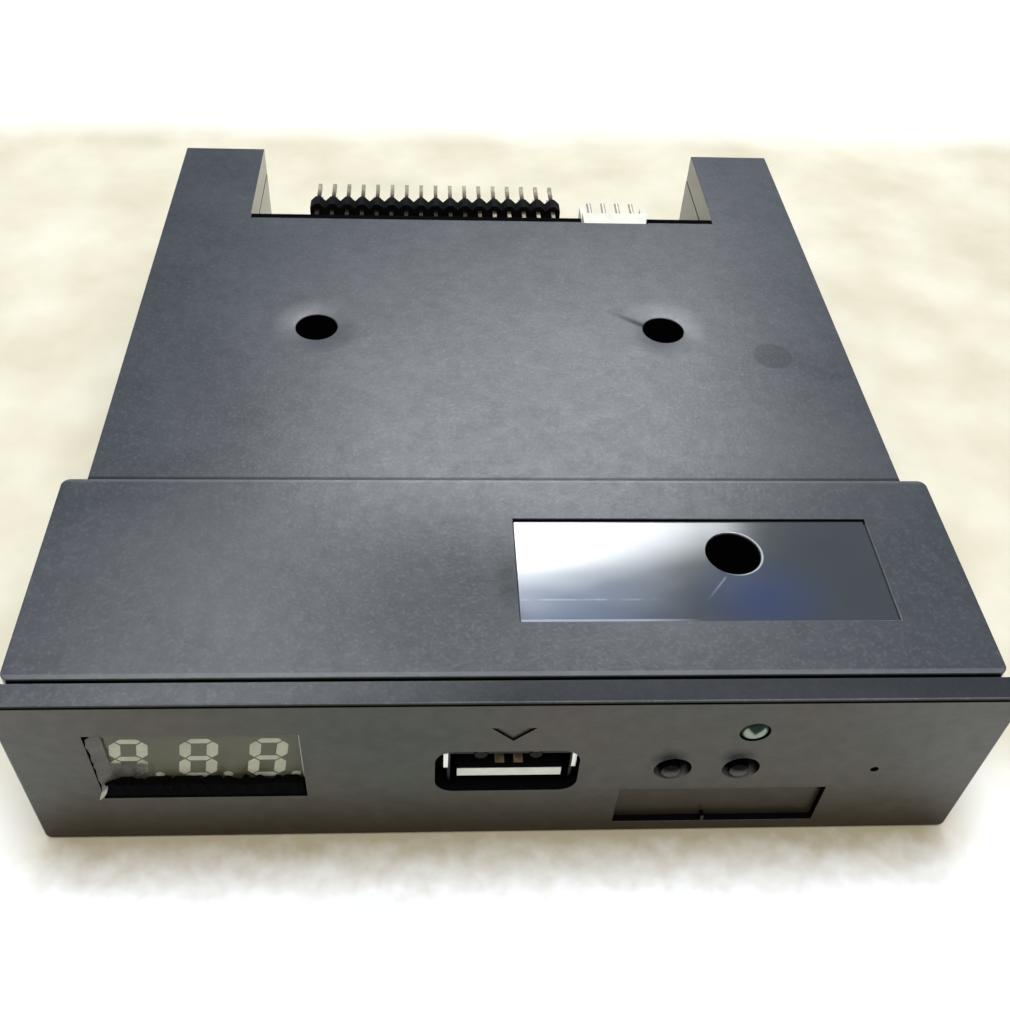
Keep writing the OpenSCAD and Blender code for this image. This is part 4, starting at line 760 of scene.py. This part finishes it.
# Painted light: a pale patch round each rear screw well, like the sheen on its dished rim.
for x in (-23.6, 23.6):
    painted_well_sheen = spot(cover_plastic, (x, 61.5, 24.5), 3.0, 6.5)
    cover_grey = lay(cover_plastic, painted_well_sheen, (0.075, 0.080, 0.088), cover_grey, 0.4)
flow_mark = times(cover_plastic, stroke(cover_plastic, (21.2, 62.3, 0), (-0.85, 0.52, 0), 6.2, 0.75),
                  span(cover_plastic, "Z", 24.2, 24.7))
ejector_mark = spot(cover_plastic, (37.5, 55.7, 24.5), 2.4, 2.8)
smear = spot(cover_plastic, (-0.2, 15.5, 25.4), 0.6, 4.2, (1, 0.4, 1))
marks = strongest(cover_plastic, times(cover_plastic, flow_mark, 0.7),
                  times(cover_plastic, ejector_mark, 0.3), times(cover_plastic, smear, 0.6))
cover_grey = lay(cover_plastic, marks, (0.010, 0.011, 0.012), cover_grey)
# Painted light: two broad pale patches, on the collar's left and the body's right, where the sheen falls.
for middle, reach in (((-33, 16, 25.4), 19), ((39, 37, 24.5), 16)):
    painted_pale_patch = spot(cover_plastic, middle, 3, reach)
    cover_grey = lay(cover_plastic, painted_pale_patch, (0.080, 0.085, 0.090), cover_grey, 0.35)
# Painted shade: the notch's rear edge, the cover's wall in the seam's gap, a line behind the collar's step,
# the label recess's rear wall and the screw wells' walls are painted near black.
notch_edge = times(cover_plastic, span(cover_plastic, "X", -35.2, 35.2), span(cover_plastic, "Y", 88.3, 89.7),
                   span(cover_plastic, "Z", 24.1, 25))
seam = times(cover_plastic, span(cover_plastic, "Y", 2.5, 3.26, 0.03), span(cover_plastic, "Z", 5, 25.12))
behind_step = times(cover_plastic, span(cover_plastic, "Y", 31.1, 32.1, 0.3),
                    span(cover_plastic, "Z", 24, 24.6), 0.6)
recess_wall = times(cover_plastic, span(cover_plastic, "X", 0.5, 41.5), span(cover_plastic, "Y", 24.2, 25),
                    span(cover_plastic, "Z", 24.93, 25.28, 0.03), 0.95)
painted_cover_shade = strongest(cover_plastic, notch_edge, seam, behind_step, recess_wall)
for x, depth, radius, top in ((-23.6, 61.5, 2.8, 24.1), (23.6, 61.5, 2.8, 24.1), (25.1, 19.8, 3.03, 24.86)):
    well = times(cover_plastic, spot(cover_plastic, (x, depth, 0), radius + 0.05, radius + 0.13, (1, 1, 0)),
                 span(cover_plastic, "Z", -1, top))
    painted_cover_shade = strongest(cover_plastic, painted_cover_shade, well)
give(cover_plastic, "Base Color", lay(cover_plastic, painted_cover_shade, (0.003, 0.003, 0.003), cover_grey))
by_label = times(cover_plastic, spot(cover_plastic, (-8, 15, 25.4), 4, 22, (1, 1.2, 1)), 0.55)
behind_label = times(cover_plastic, spot(cover_plastic, (2, 40, 24.5), 4, 24), 0.14)
gloss(cover_plastic, strongest(cover_plastic, painted_cover_shade, marks, by_label, behind_label))


def cover_outside(x, depth, z):
    edge = abs(x) > 47.7 or depth < 3.5 or (depth > 86 and abs(x) > 35)
    notch = depth > 86 and z > 24.4
    step = 30.5 < depth < 31.5
    return edge or notch or step


def recess_rim(x, depth, z):
    return z > 25.39 and 0.5 < x < 41.5 and 10 < depth < 25


def well_rims(x, depth, z):
    return z > 24 and abs(x) < 30 and (15 < depth < 24 or 55 < depth < 68)


cover = copy_of("upper_shell", "soft_upper_shell")
cut_across(cover, -23.6, 23.6)
soften(cover, 0.15, cover_outside, 3)
soften(cover, 0.12, recess_rim)
soften(cover, 0.12, well_rims)
dress(cover, "case", cover_plastic)
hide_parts("upper_shell")

# A glossy dark film is stuck into the label recess, round the front screw well. It is bluish in front of the
# well, with a scratch and a burr. The window's glare at its left end, a sky reflection, a highlight along a
# crease and one on the right of its cut edge are painted on.
film = finish("label_film", IOR=1.8)
ink = between(film, mottle(film, 14, 2), (0.036, 0.042, 0.045), (0.042, 0.048, 0.051))
blue = spot(film, (27, 13.5, 24.7), 1, 9, (1, 1.3, 1))
ink = lay(film, blue, (0.024, 0.038, 0.098), ink, 0.8)
# Painted reflections: a pale blue sky patch and the window's glare at the left end, also made glossier.
painted_sky_reflection = times(film, spot(film, (5, 13.5, 24.7), 3, 15, (1, 1.5, 1)), 0.75)
ink = lay(film, painted_sky_reflection, (0.100, 0.130, 0.205), ink)
painted_glare = spot(film, (1, 22.5, 24.7), 4, 13, (0.62, 1.25, 1))
ink = lay(film, painted_glare, (0.120, 0.135, 0.160), ink, 0.8)
# Painted highlights: a pale line along a crease, and a bright arc on the right of the hole's cut edge.
crease_highlight = times(film, span(film, "X", 1.2, 8, 10), span(film, "Y", 13.2, 13.28, 0.14), 0.3,
               between(film, mottle(film, 2.5, 3), 0.1, 1.0, 0.4, 0.6))
burr = times(film, span(film, "X", 0.8, 14, 6), span(film, "Y", 10, 10.56, 0.06), 0.4)
scratch = times(film, stroke(film, (23.6, 16.3, 0), (-0.62, -0.786, 0), 4.2, 0.16), 0.2)
ink = lay(film, strongest(film, crease_highlight, burr, scratch), (0.5, 0.56, 0.66), ink)
cut_edge_highlight = times(film, spot(film, (25.2, 19.8, 24.7), 3.18, 3.26, (1, 1, 0)), span(film, "X", 25.5, 30, 2))
give(film, "Base Color", lay(film, cut_edge_highlight, (0.45, 0.46, 0.47), ink, 0.8))
give(film, "Specular IOR Level", between(film, strongest(film, painted_sky_reflection, painted_glare), 0.30, 0.80, 0.0, 1.0))
give(film, "Roughness", between(film, mottle(film, 5, 3, (0.4, 1, 1)), 0.085, 0.135))
coat("label_film", film)
